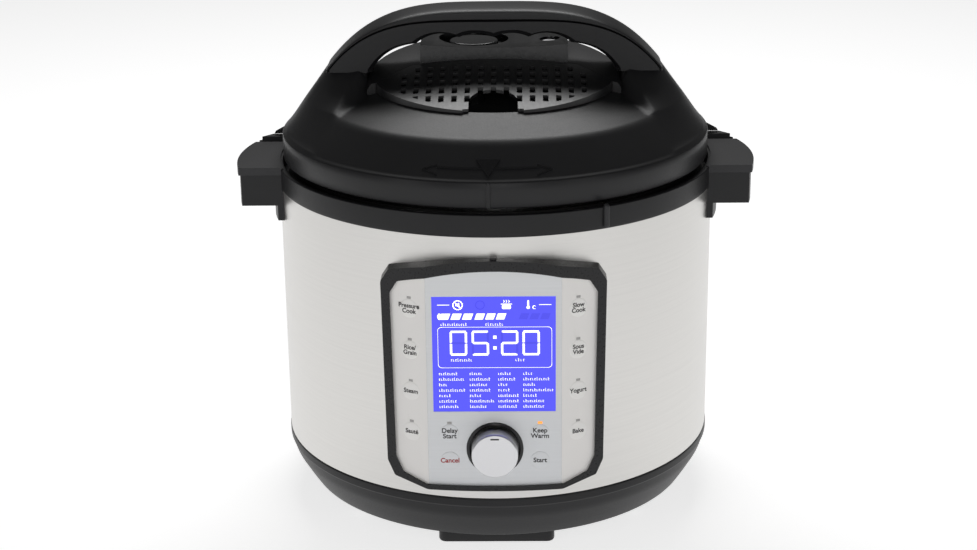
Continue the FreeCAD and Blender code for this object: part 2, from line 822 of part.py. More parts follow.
def lamp_blocks():
    return [lamp_block(centre, out) for _, centre, out in lamp_frames()]


def indicator_lamps():
    return Part.makeCompound([lamp_block(c, out) for name, c, out in lamp_frames() if name != "warm_key"])


def keep_warm_lamp():
    return [lamp_block(c, out) for name, c, out in lamp_frames() if name == "warm_key"][0]


def lcd_window():
    y = fascia_y - lcd_set_back
    return lcd_block().common(box(-lcd_w, lcd_w, -y, -(y - lcd_t), 0, tall))


def lcd_module():
    y = fascia_y - lcd_set_back - lcd_t
    half = module_w / 2
    return box(-half, half, -y, -(y - module_t), lcd_z - half, lcd_z + half)


def knob_ring():
    y = fascia_y
    ring = cylinder_y(knob_ring_r, knob_z, 0, y - knob_well_d, y + 0.6)
    ring = ring.cut(cylinder_y(knob_r + knob_air, knob_z, 0, y - knob_well_d + knob_floor_t, y + 2))
    return ring.cut(cylinder_y(shaft_r + 1.4, knob_z, 0, y - 10, y))


def selector_knob():
    y = fascia_y
    back = y - knob_well_d + knob_floor_t + gap
    face = y + knob_out
    cap = cylinder_y(knob_r, knob_z, 0, back, face)
    cap = cap.makeFillet(0.8, [e for e in cap.Edges if abs(e.CenterOfMass.y + face) < 0.01])
    hollow = cylinder_y(knob_r - 1.6, knob_z, 0, back - 1, face - 2.5)
    boss = cylinder_y(shaft_r + boss_wall, knob_z, 0, back, face - 2)
    shaft = cylinder_y(shaft_r, knob_z, 0, y - 13, y)
    mark = box(-2.2, 2.2, -(face + 1), -(face - 0.3), knob_z + knob_r - 3.4, knob_z + knob_r - 2.4)
    return fuse([cap.cut(hollow), boss, shaft]).cut(mark)


def encoder():
    y = fascia_y - 10
    body = box(-6.5, 6.5, -y, -(y - 6), knob_z - 6.5, knob_z + 6.5)
    neck = cylinder_y(shaft_r + boss_wall, knob_z, 0, y, fascia_y - knob_well_d)
    return fuse([body, neck]).cut(cylinder_y(shaft_r + shaft_clearance, knob_z, 0, y - 3.5, y + 20))


def control_board():
    y = fascia_y - 16
    return box(-45, 45, -y, -(y - board_t), panel_bottom + 12.6, panel_top - 17)


# ---- lid ----

def lid_profile(inset):
    """Half section of the lid's outside, from the skirt's lower edge to the middle."""
    n = inset
    z_skirt = lid_z0 + skirt_h
    return [(lid_r - n, lid_z0), (lid_r - n, z_skirt - 2), (lid_r - 2.6 - n, z_skirt + 1.6),
            (crease_r + 1.6 - n, crease_z - 1.0 - n * 0.8), (crease_r - 3.0 - n, crease_z + 0.8 - n),
            (dome_r, crown_z - n), (dome_r / 2, crown_z + 1.4 - n), (0, crown_z + 1.6 - n)]


def saddle(inset):
    """Raised shoulders at both sides, which carry the ends of the handle."""
    n = inset
    half = grip_depth / 2 + 1
    levels = [(lid_z0 + skirt_h + 1.0, lid_r - 2.2, half + shoulder_spread + 23.0, 2.0, 0.0)]
    for t in (0.067, 0.42, 0.78, 1.0):
        wide = half + shoulder_spread * (1 - t) ** 1.15
        power = 2.0 + 2.0 * t ** 4
        levels.append((crease_z + (arch_seam - crease_z) * t, crease_r + shoulder_out - shoulder_lean * t,
                       wide, power, grip_y * t))
    wires = []
    for z, a, b, power, y in levels:
        lower = n if z == arch_seam else 0
        wires.append(oval_wire(a - n, b - n, power, y, z - lower))
    return Part.makeLoft(wires, True, False)


def saddle_well():
    """The space between the shoulders, under the handle."""
    w = opening_w
    flare = 26.0
    y0 = grip_y - grip_depth / 2 - 2
    y1 = grip_y + grip_depth / 2 + 2
    outline = flat_face([V(-w - flare, y0 - 60, 0), V(-w, y0, 0), V(-w, y1, 0), V(-w - flare, y1 + 60, 0),
                         V(w + flare, y1 + 60, 0), V(w, y1, 0), V(w, y0, 0), V(w + flare, y0 - 60, 0)])
    return outline.extrude(V(0, 0, tall)).cut(lid_block(0))


def lid_block(grow):
    """Everything under the lid's plain outside, without the shoulders."""
    return revolve([(r, z + grow) for r, z in lid_profile(0)] + [(0, 0), (lid_r, 0)])


def lens_corners(inset):
    """Tips and rear corners of the diffuser, on the right."""
    tip = V(lens_w - inset * 1.4, lens_tip_y, 0)
    back = V(housing_w / 2 + 6 - inset, lens_back - inset, 0)
    return tip, back


def lens_outline(inset):
    tip_r, back_r = lens_corners(inset)
    tip_l, back_l = V(-tip_r.x, tip_r.y, 0), V(-back_r.x, back_r.y, 0)
    edges = [Part.Arc(tip_l, V(0, lens_front + inset, 0), tip_r).toShape(), Part.makeLine(tip_r, back_r),
             Part.makeLine(back_r, back_l), Part.makeLine(back_l, tip_l)]
    return Part.Face(Part.Wire(edges))


def plateau(inset, z0):
    """Raised middle of the lid behind the diffuser, on the same sphere, around the valve housing."""
    tip, back = lens_corners(-inset)
    w = opening_w + 3 - inset
    y0, y1 = lens_tip_y + inset, plateau_corner - inset
    right = [back, tip, V(w, y0, 0), V(w, y1, 0)]
    left = [V(-p.x, p.y, 0) for p in right]
    rear = Part.Arc(right[-1], V(0, plateau_back - inset, 0), left[-1]).toShape()
    edges = [Part.makeLine(left[0], right[0]), rear]
    for points in (right, left):
        for start, end in zip(points, points[1:]):
            edges.append(Part.makeLine(start, end))
    face = Part.Face(Part.Wire(Part.__sortEdges__(edges)))
    face.translate(V(0, 0, z0))
    block = face.extrude(V(0, 0, tall - z0)).common(diffuser_ball(diffuser_sphere - inset))
    return block.common(plateau_cone(inset, z0)).cut(housing_block(inset))


def plateau_cone(inset, z0):
    """Steep cone that slopes the raised middle's rear edge down to the lid."""
    w = opening_w + 3
    y = (plateau_back ** 2 - w ** 2 - plateau_corner ** 2) / (2 * (plateau_back - plateau_corner))
    r = plateau_back - y - inset
    z1 = top_z(plateau_back) - inset
    h = r * math.tan(plateau_draft)
    return Part.makeCone(r, 0, h, V(0, y, z1), UP).fuse(cylinder(r, z0, z1, 0, y))


def housing_block(grow):
    half = housing_w / 2 + grow
    return box(-half, half, housing_y0 - grow, housing_y1 + grow, crease_z - 60, housing_top)


def lens_prism(inset, z0, z1):
    face = lens_outline(inset)
    face.translate(V(0, 0, z0))
    return face.extrude(V(0, 0, z1 - z0))


def lid_shell():
    outer = revolve(lid_profile(0) + [(0, lid_z0)])
    sides = saddle(0).cut(saddle_well())
    outer = outer.fuse([sides, plateau(0, crease_z)])
    inner = revolve(lid_profile(lid_wall) + [(0, lid_z0)])
    legs = saddle(lid_wall + 1).cut(box(-opening_w - 4, opening_w + 4, -lid_r, lid_r, lid_z0, tall))
    hollow = inner.fuse([legs, plateau(lid_wall, lid_z0 + skirt_h)])
    shell = outer.cut(hollow)
    floor = lens_prism(pocket_inset - lid_wall, pocket_z - lid_wall, crown_z + 5)
    floor = floor.common(lid_block(0))
    shell = shell.fuse(floor)
    shell = shell.cut(lens_prism(pocket_inset, pocket_z, tall))
    z0 = lid_z0 - 30
    bores = [cylinder(float_r + stem_clearance, z0, tall, float_x, float_y),
             cylinder(valve_stem_r + stem_clearance, z0, tall, valve_x, valve_y),
             cylinder(button_stem_r + 1, z0, tall, button_x, button_y)]
    bores += [cylinder(screw_r, z0, tall, x, y) for x, y in handle_screw_places()]
    shell = shell.cut(bores)
    rib = box(-1.2, 1.2, -(lid_r + 1.0), -(lid_r - 1), lid_z0 + 0.6, lid_z0 + skirt_h - 0.6)
    return fuse([shell, rib] + liner_posts(outer))


def liner_posts(outer):
    """Posts inside the lid that the steel liner is screwed to."""
    posts = []
    r = liner_r - 20
    for i in range(6):
        a = math.radians(30 + 60 * i)
        post = cylinder(5.0, liner_z + liner_t, tall, r * math.cos(a), r * math.sin(a))
        posts.append(post.common(outer))
    return posts


def handle_screw_places():
    x = arch_w - screw_in
    return [(sx, grip_y + sy) for sx in (-x, x) for sy in (-screw_spread, screw_spread)]


def handle_screws():
    screws = []
    z = arch_seam - lid_wall - 1
    for x, y in handle_screw_places():
        head = cylinder(screw_head_r, z - 2.4, z, x, y)
        shank = cylinder(screw_r, z, arch_seam + 6, x, y)
        screws.append(fuse([head, shank]))
    return Part.makeCompound(screws)


def lid_fins():
    fins = []
    z0 = handle_top + ridge_h + fin_clearance
    for sign in (-1, 1):
        points = [V(sign * (lid_r - 2.0), fin_y, z0), V(sign * fin_out, fin_y, z0),
                  V(sign * (fin_out - 1), fin_y, z0 + 1.5), V(sign * (lid_r - 2.0), fin_y, z0 + 8)]
        plate = flat_face(points).extrude(V(0, fin_t, 0))
        fins.append(plate.cut(cylinder(lid_r, 0, tall)))
    return Part.makeCompound(fins)


def arch_points(half_width, height, power):
    """Half an arch above the shoulders, from its top to its foot."""
    count = 12
    points = []
    for i in range(count + 1):
        u = math.sin(math.pi / 2 * i / count)
        points.append((half_width * u, arch_seam + height * (1 - u ** power)))
    return points


def arch_line(points, y):
    """A smooth curve through half an arch and its mirror image."""
    left = [V(-x, y, z) for x, z in reversed(points) if x > 0]
    right = [V(x, y, z) for x, z in points]
    curve = Part.BSplineCurve()
    curve.interpolate(left + right)
    return curve.toShape()


def arch_solid(points, bottom, depth):
    """Everything under an arch, extruded front to back about the grip's middle."""
    y0 = grip_y - depth / 2
    top = arch_line(points, y0)
    x1 = points[-1][0]
    z1 = points[-1][1]
    corners = [V(x1, y0, z1), V(x1, y0, bottom), V(-x1, y0, bottom), V(-x1, y0, z1)]
    edges = [top]
    for start, end in zip(corners, corners[1:]):
        if (end - start).Length > 0.001:
            edges.append(Part.makeLine(start, end))
    return Part.Face(Part.Wire(edges)).extrude(V(0, depth, 0))


def outer_arch():
    return arch_points(arch_w, arch_h, arch_power)


def parting_arch():
    return arch_points(parting_w, arch_h - parting_drop, parting_power)


def opening_arch():
    return arch_points(opening_w, opening_h, opening_power)


def handle_cover():
    below = arch_solid(parting_arch(), arch_seam - 1, grip_depth + 2)
    solid = arch_solid(outer_arch(), arch_seam, grip_depth).cut(below)
    top = arch_seam + arch_h - 1
    edges = [e for e in solid.Edges if isinstance(e.Curve, Part.BSplineCurve) and e.BoundBox.ZMax > top]
    return solid.makeFillet(cover_round, edges)


def handle_grip():
    solid = arch_solid(parting_arch(), arch_seam, grip_depth - 1)
    solid = solid.cut(arch_solid(opening_arch(), arch_seam - 1, grip_depth + 2))
    cuts = []
    for i in range(scallop_count):
        x = (i - (scallop_count - 1) / 2) * scallop_pitch
        centre = V(x, grip_y - grip_depth, grip_under - scallop_r + scallop_depth)
        cuts.append(Part.makeCylinder(scallop_r, 2 * grip_depth, centre, V(0, 1, 0)))
    solid = solid.cut(cuts)
    holes = [cylinder(screw_r, arch_seam - 1, arch_seam + 6, x, y) for x, y in handle_screw_places()]
    return solid.cut(holes)


def diffuser_ball(r):
    return Part.makeSphere(r, diffuser_centre)


def slot_places():
    """Slots in rows that bow back at the sides, inside the cover's front edge."""
    places = []
    for row, (reach, middle) in enumerate(slot_columns):
        for i in range(-reach, reach + 1):
            x = i * slot_pitch_x
            if not middle and abs(x) < notch_w / 2:
                continue
            bow = row_bow_r - math.sqrt(row_bow_r ** 2 - x ** 2)
            places.append((x, slot_first_y + row * slot_pitch_y + bow))
    return places


def thumb_notch():
    half = notch_w / 2
    edge = 1.4 * half
    front, back = lens_front - 5, notch_back + half - edge
    z0, z1 = pocket_z - 10, tall
    notch = box(-half, half, front, back, z0, z1)
    dome = cylinder(half, z0, z1, 0, back)
    step = box(-half - notch_step, half + notch_step, front, lens_front + notch_step, z0, z1)
    return fuse([notch, dome, step])


def steam_diffuser():
    outer = lens_prism(0, pocket_z - 10, tall).common(diffuser_ball(diffuser_sphere))
    inner = lens_prism(diffuser_wall, pocket_z - 12, tall + 1)
    cover = outer.cut(inner.common(diffuser_ball(diffuser_sphere - diffuser_t)))
    seat = lid_block(gap).cut(lens_prism(pocket_inset + gap, pocket_z - 80, tall))
    cover = cover.cut(seat)
    inside = lens_prism(diffuser_wall + 2, pocket_z - 10, tall)
    cuts = []
    for x, y in slot_places():
        slot = box(x - slot_w / 2, x + slot_w / 2, y - slot_l / 2, y + slot_l / 2, pocket_z - 10, tall)
        cuts.append(slot.common(inside))
    return cover.cut([c for c in cuts if c.Volume > 1]).cut(thumb_notch()).cut(housing_block(gap))


def valve_housing():
    w = housing_wall
    block = housing_block(0).cut(housing_scoop(0))
    room = housing_block(-w).cut(housing_scoop(w))
    room = room.cut([cylinder(button_well_r + w, 0, tall, button_x, button_y),
                     cylinder(float_r + 4, 0, tall, float_x, float_y)])
    block = block.cut(room).cut(lid_block(0))
    well = cylinder(button_well_r, housing_mid - button_well_d, tall, button_x, button_y)
    hole = cylinder(button_r - 4, lid_z0, tall, button_x, button_y)
    bore = cylinder(float_r + stem_clearance, lid_z0, tall, float_x, float_y)
    sink = cylinder(float_r + 1.6, housing_mid - 1.5, tall, float_x, float_y)
    return block.cut([well, hole, bore, sink])


def housing_scoop(lower):
    """What hollows the housing's top: a wide cylinder that lies front to back."""
    half = housing_w / 2
    r = (half ** 2 + housing_dip ** 2) / (2 * housing_dip)
    centre = V(0, -lid_r, housing_mid - lower + r)
    scoop = Part.makeCylinder(r, 2 * lid_r, centre, V(0, 1, 0))
    return scoop.fuse(box(-half, half, -lid_r, lid_r, housing_top - lower, tall))


def release_button():
    z1 = housing_mid - 0.6
    z0 = housing_mid - button_well_d + button_travel + gap
    cap = cylinder(button_r, z0, z1, button_x, button_y)
    top = [e for e in cap.Edges if abs(e.CenterOfMass.z - z1) < 0.01]
    cap = cap.makeFillet(1.5, top)
    stem = cylinder(button_stem_r, crown_z + 4, z0, button_x, button_y)
    return fuse([cap, stem])


def float_valve():
    z0 = liner_z - float_seal_t - gap - float_travel - float_foot_t
    z1 = housing_mid - 0.4
    stem = cylinder(float_r, z0, z1, float_x, float_y)
    foot = cylinder(float_r + float_foot, z0, z0 + float_foot_t, float_x, float_y)
    return fuse([stem, foot])


def steam_valve():
    z0 = pocket_z + gap
    top = revolve([(0, z0), (valve_r, z0), (valve_r, z0 + valve_h - 1), (valve_r - 1, z0 + valve_h),
                   (0, z0 + valve_h)])
    top.translate(V(valve_x, valve_y, 0))
    stem = cylinder(valve_stem_r, liner_z - 2.5, z0, valve_x, valve_y)
    return fuse([top, stem])


def lid_liner():
    """Steel disc under the lid, with a turned-down edge and lugs that pass inside the collar."""
    z = liner_z
    w = liner_t
    disc = cylinder(lid_r - liner_margin, z, z + w)
    edge = tube(liner_r, liner_r - w, edge_z, z)
    lug_ring = tube(liner_r + lug_out, liner_r - 0.5, edge_z, edge_z + 2.5)
    lugs = [lug_ring.common(wedge) for wedge in lug_wedges(lug_deg)]
    liner = fuse([disc, edge] + lugs)
    bores = [cylinder(float_r + stem_clearance, edge_z, tall, float_x, float_y),
             cylinder(valve_stem_r + stem_clearance, edge_z, tall, valve_x, valve_y)]
    return liner.cut(bores)


def sealing_ring():
    z1 = liner_z - gap
    z0 = z1 - seal_h
    r1 = liner_r - liner_t - gap
    lip = 3.0
    return revolve([(seal_r0, z1), (r1, z1), (r1, z0), (r1 - lip, z0), (r1 - lip, z1 - 2.5),
                    (seal_r0 + lip, z1 - 2.5), (seal_r0 + lip, z0), (seal_r0, z0)])


def ring_rack():
    z = liner_z - 2.0
    r = seal_r0 - 2.6
    studs = []
    for i in range(4):
        a = math.radians(90 * i)
        studs.append(cylinder(1.2, z, liner_z, r * math.cos(a), r * math.sin(a)))
    return Part.makeTorus(r, 1.4, V(0, 0, z), UP).fuse(studs)


def anti_block_shield():
    z1 = liner_z
    r = 12.0
    wall = 1.2
    z0 = z1 - 9
    cap = revolve([(0, z0), (r, z0), (r, z1), (r - wall, z1), (r - wall, z0 + wall), (0, z0 + wall)])
    cap.translate(V(valve_x, valve_y, 0))
    slots = [box(valve_x - r - 1, valve_x + r + 1, valve_y - 0.8 + d, valve_y + 0.8 + d, z1 - 8, z1 - 3)
             for d in (-6, 0, 6)]
    return cap.cut(slots)


def float_seal():
    z1 = liner_z
    return tube(float_r + 3.5, float_r + stem_clearance, z1 - float_seal_t, z1, float_x, float_y)


def inner_pot():
    r = pot_r
    w = pot_wall
    z0, z1 = pot_z0, pot_z1
    return revolve([(0, z0), (r - 10, z0), (r - 3, z0 + 3), (r, z0 + 10),
                    (r, z1 - 1), (r + pot_rim_w, z1 - 1),
                    (r + pot_rim_w, z1), (r - w, z1), (r - w, z0 + 10.5), (r - 3.6, z0 + 3.8),
                    (r - 10.2, z0 + w), (0, z0 + w)])


def main():
    save("steel_shell", steel_shell())
    save("base_housing", base_housing())
    save("front_foot", front_foot())
    save("base_cover", base_cover())
    save("rubber_feet", rubber_feet())
    save("base_screws", base_screws())
    save("upper_collar", upper_collar())
    save("locking_ring", locking_ring())
    save("right_handle", right_handle())
    save("left_handle", mirror_x(right_handle()))
    save("right_handle_cap", handle_cap())
    save("left_handle_cap", mirror_x(handle_cap()))
    save("heating_chamber", heating_chamber())
    save("heating_plate", heating_plate())
    save("temperature_sensor", temperature_sensor())
    save("sensor_spring", sensor_spring())
    save("power_board", power_board())
    save("power_inlet", power_inlet())
    save("condensation_cup", condensation_cup())
    save("cup_bracket", cup_bracket())
    save("control_board", control_board())
    save("panel_bezel", panel_bezel())
    save("panel_fascia", panel_fascia())
    save("left_key_strip", key_strip(-1))
    save("right_key_strip", key_strip(1))
    save("lcd_window", lcd_window())
    save("lcd_module", lcd_module())
    save("knob_ring", knob_ring())
    save("encoder", encoder())
    save("selector_knob", selector_knob())
    save("indicator_lamps", indicator_lamps())
    save("keep_warm_lamp", keep_warm_lamp())
    for name, centre, out in key_frames():
        save(name, key_cap(centre, out))
    save("lid_shell", lid_shell())
    save("lid_fins", lid_fins())
    save("handle_grip", handle_grip())
    save("handle_cover", handle_cover())
    save("handle_screws", handle_screws())
    save("lid_liner", lid_liner())
    save("sealing_ring", sealing_ring())
    save("ring_rack", ring_rack())
    save("anti_block_shield", anti_block_shield())
    save("float_seal", float_seal())
    save("float_valve", float_valve())
    save("steam_valve", steam_valve())
    save("valve_housing", valve_housing())
    save("release_button", release_button())
    save("steam_diffuser", steam_diffuser())
    save("inner_pot", inner_pot())


main()
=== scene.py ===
import json
import math

import bmesh
import bpy
import numpy as np
from mathutils import Matrix, Vector

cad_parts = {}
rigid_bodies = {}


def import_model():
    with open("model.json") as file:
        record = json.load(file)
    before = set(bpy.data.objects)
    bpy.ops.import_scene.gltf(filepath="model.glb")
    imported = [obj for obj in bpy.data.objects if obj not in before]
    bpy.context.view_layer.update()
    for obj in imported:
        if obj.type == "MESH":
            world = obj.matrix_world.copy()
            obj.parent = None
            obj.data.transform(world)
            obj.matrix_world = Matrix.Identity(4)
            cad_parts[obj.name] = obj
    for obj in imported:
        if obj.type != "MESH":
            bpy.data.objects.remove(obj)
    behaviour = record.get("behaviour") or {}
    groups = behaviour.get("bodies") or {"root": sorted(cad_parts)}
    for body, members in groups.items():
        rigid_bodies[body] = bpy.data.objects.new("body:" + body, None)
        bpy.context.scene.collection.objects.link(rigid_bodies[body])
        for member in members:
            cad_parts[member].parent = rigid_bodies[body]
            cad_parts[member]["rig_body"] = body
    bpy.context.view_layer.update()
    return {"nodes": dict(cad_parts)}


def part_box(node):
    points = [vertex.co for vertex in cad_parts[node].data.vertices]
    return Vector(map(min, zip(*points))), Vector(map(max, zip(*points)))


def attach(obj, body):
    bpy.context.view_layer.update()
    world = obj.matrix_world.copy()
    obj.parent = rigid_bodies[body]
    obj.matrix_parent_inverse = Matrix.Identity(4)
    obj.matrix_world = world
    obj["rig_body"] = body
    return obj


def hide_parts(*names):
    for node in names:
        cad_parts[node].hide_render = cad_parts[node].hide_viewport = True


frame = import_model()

scene = bpy.context.scene
MM = 0.001

# ---------------------------------------------------------------- places, from the frame
shell_lo, shell_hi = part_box("steel_shell")
base_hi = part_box("base_housing")[1]
collar_lo, collar_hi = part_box("upper_collar")
lid_lo, lid_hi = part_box("lid_shell")
cover_lo, cover_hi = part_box("handle_cover")
grip_lo, grip_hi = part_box("handle_grip")
fascia_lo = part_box("panel_fascia")[0]
lcd_lo, lcd_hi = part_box("lcd_window")
knob_lo, knob_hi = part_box("selector_knob")
foot_lo, foot_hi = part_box("front_foot")
diffuser_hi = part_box("steam_diffuser")[1]

BODY_R = shell_hi[0]
LID_R = lid_hi[0]
SKIRT_Z = lid_lo[2]
SEAM_Z = grip_lo[2]
GRIP_Y = (grip_lo[1] + grip_hi[1]) / 2
GRIP_DEPTH = cover_hi[1] - cover_lo[1]
FASCIA_Y = fascia_lo[1]
KNOB_Z = (knob_lo[2] + knob_hi[2]) / 2
LCD_Z = (lcd_lo[2] + lcd_hi[2]) / 2

# ---------------------------------------------------------------- sizes that the boxes don't give
BASE_H = 31.8 * MM              # plastic base, from its underside to the steel
STEEL_T = 0.8 * MM
COLLAR_H = 13.9 * MM
COLLAR_LIP = 3.4 * MM           # width of the collar's raised lip
MARK_DEG = 28.3                 # the open mark, to the right of the front
CREASE_R = 113 * MM             # ridge between the lid's steep wall and its sloping top
CREASE_Z = SKIRT_Z + 34.4 * MM
SHOULDER_Z = SKIRT_Z + 16 * MM  # where the skirt ends and the steep wall begins
TOP_SLOPE = math.tan(math.radians(16.3))
DOME_R = 45 * MM                # the sloping top rounds off inside this radius
WALL_SLOPE = (CREASE_Z - SHOULDER_Z - 1.2 * MM) / (LID_R - 2.8 * MM - CREASE_R)
LENS_TIP_Y = -30 * MM           # side tips of the lens-shaped diffuser
OPENING_W = 77 * MM             # half width of the finger opening under the handle
OPENING_H = 17 * MM
SCALLOPS = 4
SCALLOP_PITCH = 22              # millimetres, as are the next two
SCALLOP_R = 25.4
SCALLOP_DEPTH = 5.5
STRIP_SLOPE = math.atan2(9.5, 21.6)     # how far the key strips turn back at the sides
KEY_X = 50.2 * MM               # side keys, from the middle
KEY_BACK = 9.8 * MM             # and from the edge of the flat middle
LABEL_LIFT = 0.22 * MM


# ---------------------------------------------------------------- mesh helpers
def new_object(name, verts, faces, smooth=35.0):
    mesh = bpy.data.meshes.new(name)
    mesh.from_pydata([tuple(v) for v in verts], [], faces)
    return finish_mesh(name, mesh, smooth)


def finish_mesh(name, mesh, smooth=35.0):
    """Closed, consistently facing mesh with smooth shading except at sharp edges."""
    bm = bmesh.new()
    bm.from_mesh(mesh)
    bmesh.ops.remove_doubles(bm, verts=bm.verts, dist=1e-6)
    bmesh.ops.recalc_face_normals(bm, faces=bm.faces)
    bm.to_mesh(mesh)
    bm.free()
    mesh.shade_smooth()
    mesh.set_sharp_from_angle(angle=math.radians(smooth))
    obj = bpy.data.objects.new(name, mesh)
    scene.collection.objects.link(obj)
    return obj


def bevel(obj, width, segments=3, angle=30.0):
    mod = obj.modifiers.new("soft_edges", "BEVEL")
    mod.width = width
    mod.segments = segments
    mod.limit_method = "ANGLE"
    mod.angle_limit = math.radians(angle)
    mod.use_clamp_overlap = True
    mod.harden_normals = True
    return obj


def place(obj, body, material, slot, *nodes):
    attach(obj, body)
    if nodes:
        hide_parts(*nodes)
    obj.data.materials.clear()
    obj.data.materials.append(material)
    return obj


def soften(node, width, material, slot, segments=2, angle=30.0, corner=0.0):
    """A copy of a CAD piece with its coplanar faces joined and its sharp edges rounded.

    A corner radius also rounds the outer corners of its outline, as seen from the front.
    """
    source = frame["nodes"][node]
    mesh = source.data.copy()
    bm = bmesh.new()
    bm.from_mesh(mesh)
    bmesh.ops.remove_doubles(bm, verts=bm.verts, dist=2e-6)
    bmesh.ops.dissolve_limit(bm, angle_limit=math.radians(0.8), verts=bm.verts, edges=bm.edges)
    if corner:
        chosen = []
        for edge in bm.edges:
            run = edge.verts[1].co - edge.verts[0].co
            runs_back = abs(run.y) > 0.999 * run.length and run.length > 1.5 * MM
            if runs_back and abs(edge.verts[0].co.x) > 38 * MM:
                chosen.append(edge)
        bmesh.ops.bevel(bm, geom=chosen, offset=corner, offset_type="OFFSET", segments=5, profile=0.5,
                        affect="EDGES", clamp_overlap=True)
    bm.to_mesh(mesh)
    bm.free()
    obj = finish_mesh(node + "_finished", mesh)
    bevel(obj, width, segments, angle)
    return place(obj, source["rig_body"], material, slot, node)


def rounded_profile(points, steps=5):
    """(r, z, radius) corners to a polyline with each corner turned into an arc."""
    out = []
    count = len(points)
    for i, (r, z, rad) in enumerate(points):
        p = Vector((r, z))
        if rad <= 0 or i in (0, count - 1):
            out.append(p)
            continue
        a = Vector(points[i - 1][:2]) - p
        b = Vector(points[i + 1][:2]) - p
        reach = min(rad, a.length * 0.45, b.length * 0.45)
        a, b = a.normalized() * reach, b.normalized() * reach
        for k in range(steps + 1):
            t = k / steps
            out.append(p + a * (1 - t) ** 2 + b * t ** 2)
    return out


def lathe(name, profile, segments=192, axis=None, closed=True, smooth=35.0):
    """Turns an (r, z) outline about the Z axis, or about a front-back line through axis=(x, z)."""
    line = rounded_profile(profile)
    verts = []
    for i in range(segments):
        a = 2 * math.pi * i / segments
        for p in line:
            if axis is None:
                verts.append((p.x * math.sin(a), -p.x * math.cos(a), p.y))
            else:
                verts.append((axis[0] + p.x * math.sin(a), p.y, axis[1] + p.x * math.cos(a)))
    n = len(line)
    faces = []
    for i in range(segments):
        j = (i + 1) % segments
        for k in range(n - 1):
            faces.append((i * n + k, j * n + k, j * n + k + 1, i * n + k + 1))
        if closed:
            faces.append((i * n + n - 1, j * n + n - 1, j * n, i * n))
    return new_object(name, verts, faces, smooth)


def grid_faces(rows, cols, wrap=False):
    faces = []
    for i in range(rows - 1):
        for j in range(cols if wrap else cols - 1):
            k = (j + 1) % cols
            faces.append((i * cols + j, i * cols + k, (i + 1) * cols + k, (i + 1) * cols + j))
    return faces


def capped(name, rows, smooth=35.0):
    """Closed skin over a stack of rings with equal counts, with a face at both ends."""
    n = len(rows[0])
    verts = [v for row in rows for v in row]
    faces = grid_faces(len(rows), n, wrap=True)
    faces.append(tuple(range(n)))
    faces.append(tuple(range((len(rows) - 1) * n, len(rows) * n)))
    return new_object(name, verts, faces, smooth)


def prism(name, outline, y0, y1, smooth=35.0):
    """Block from an (x, z) outline, between two depths."""
    n = len(outline)
    verts = [(x, y0, z) for x, z in outline] + [(x, y1, z) for x, z in outline]
    faces = [tuple(range(n)), tuple(range(2 * n - 1, n - 1, -1))]
    faces += [(i, (i + 1) % n, n + (i + 1) % n, n + i) for i in range(n)]
    return new_object(name, verts, faces, smooth)


def round_outline(x0, x1, z0, z1, radius, steps=5):
    """Rectangle with rounded corners."""
    points = []
    for cx, cz, a0 in ((x1 - radius, z1 - radius, 0), (x0 + radius, z1 - radius, 90),
                       (x0 + radius, z0 + radius, 180), (x1 - radius, z0 + radius, 270)):
        for k in range(steps + 1):
            a = math.radians(a0 + 90 * k / steps)
            points.append((cx + radius * math.cos(a), cz + radius * math.sin(a)))
    return points


# ---------------------------------------------------------------- materials
def material(name):
    mat = bpy.data.materials.new(name)
    mat.use_nodes = True
    tree = mat.node_tree
    return mat, tree, tree.nodes["Principled BSDF"]


def node(tree, kind, **settings):
    made = tree.nodes.new(kind)
    for key, value in settings.items():
        if key in made.inputs:
            made.inputs[key].default_value = value
        else:
            setattr(made, key, value)
    return made


def noise(tree, scale, detail=3.0, roughness=0.55, stretch=None):
    coords = node(tree, "ShaderNodeTexCoord")
    mapping = node(tree, "ShaderNodeMapping")
    if stretch:
        mapping.inputs["Scale"].default_value = stretch
    tex = node(tree, "ShaderNodeTexNoise")
    tex.inputs["Scale"].default_value = scale
    tex.inputs["Detail"].default_value = detail
    tex.inputs["Roughness"].default_value = roughness
    tree.links.new(coords.outputs["Object"], mapping.inputs["Vector"])
    tree.links.new(mapping.outputs["Vector"], tex.inputs["Vector"])
    return tex.outputs["Fac"]


def ramp(tree, source, stops):
    made = node(tree, "ShaderNodeValToRGB")
    cr = made.color_ramp
    cr.elements[0].position, cr.elements[0].color = stops[0][0], (*stops[0][1], 1)
    cr.elements[1].position, cr.elements[1].color = stops[-1][0], (*stops[-1][1], 1)
    for position, colour in stops[1:-1]:
        extra = cr.elements.new(position)
        extra.color = (*colour, 1)
    tree.links.new(source, made.inputs["Fac"])
    return made.outputs["Color"]


def spread(tree, source, low, high):
    made = node(tree, "ShaderNodeMapRange")
    made.inputs["From Min"].default_value = 0.25
    made.inputs["From Max"].default_value = 0.75
    made.inputs["To Min"].default_value = low
    made.inputs["To Max"].default_value = high
    tree.links.new(source, made.inputs["Value"])
    return made.outputs["Result"]


def bump(tree, shader, source, strength, distance):
    made = node(tree, "ShaderNodeBump")
    made.inputs["Strength"].default_value = strength
    made.inputs["Distance"].default_value = distance
    tree.links.new(source, made.inputs["Height"])
    tree.links.new(made.outputs["Normal"], shader.inputs["Normal"])


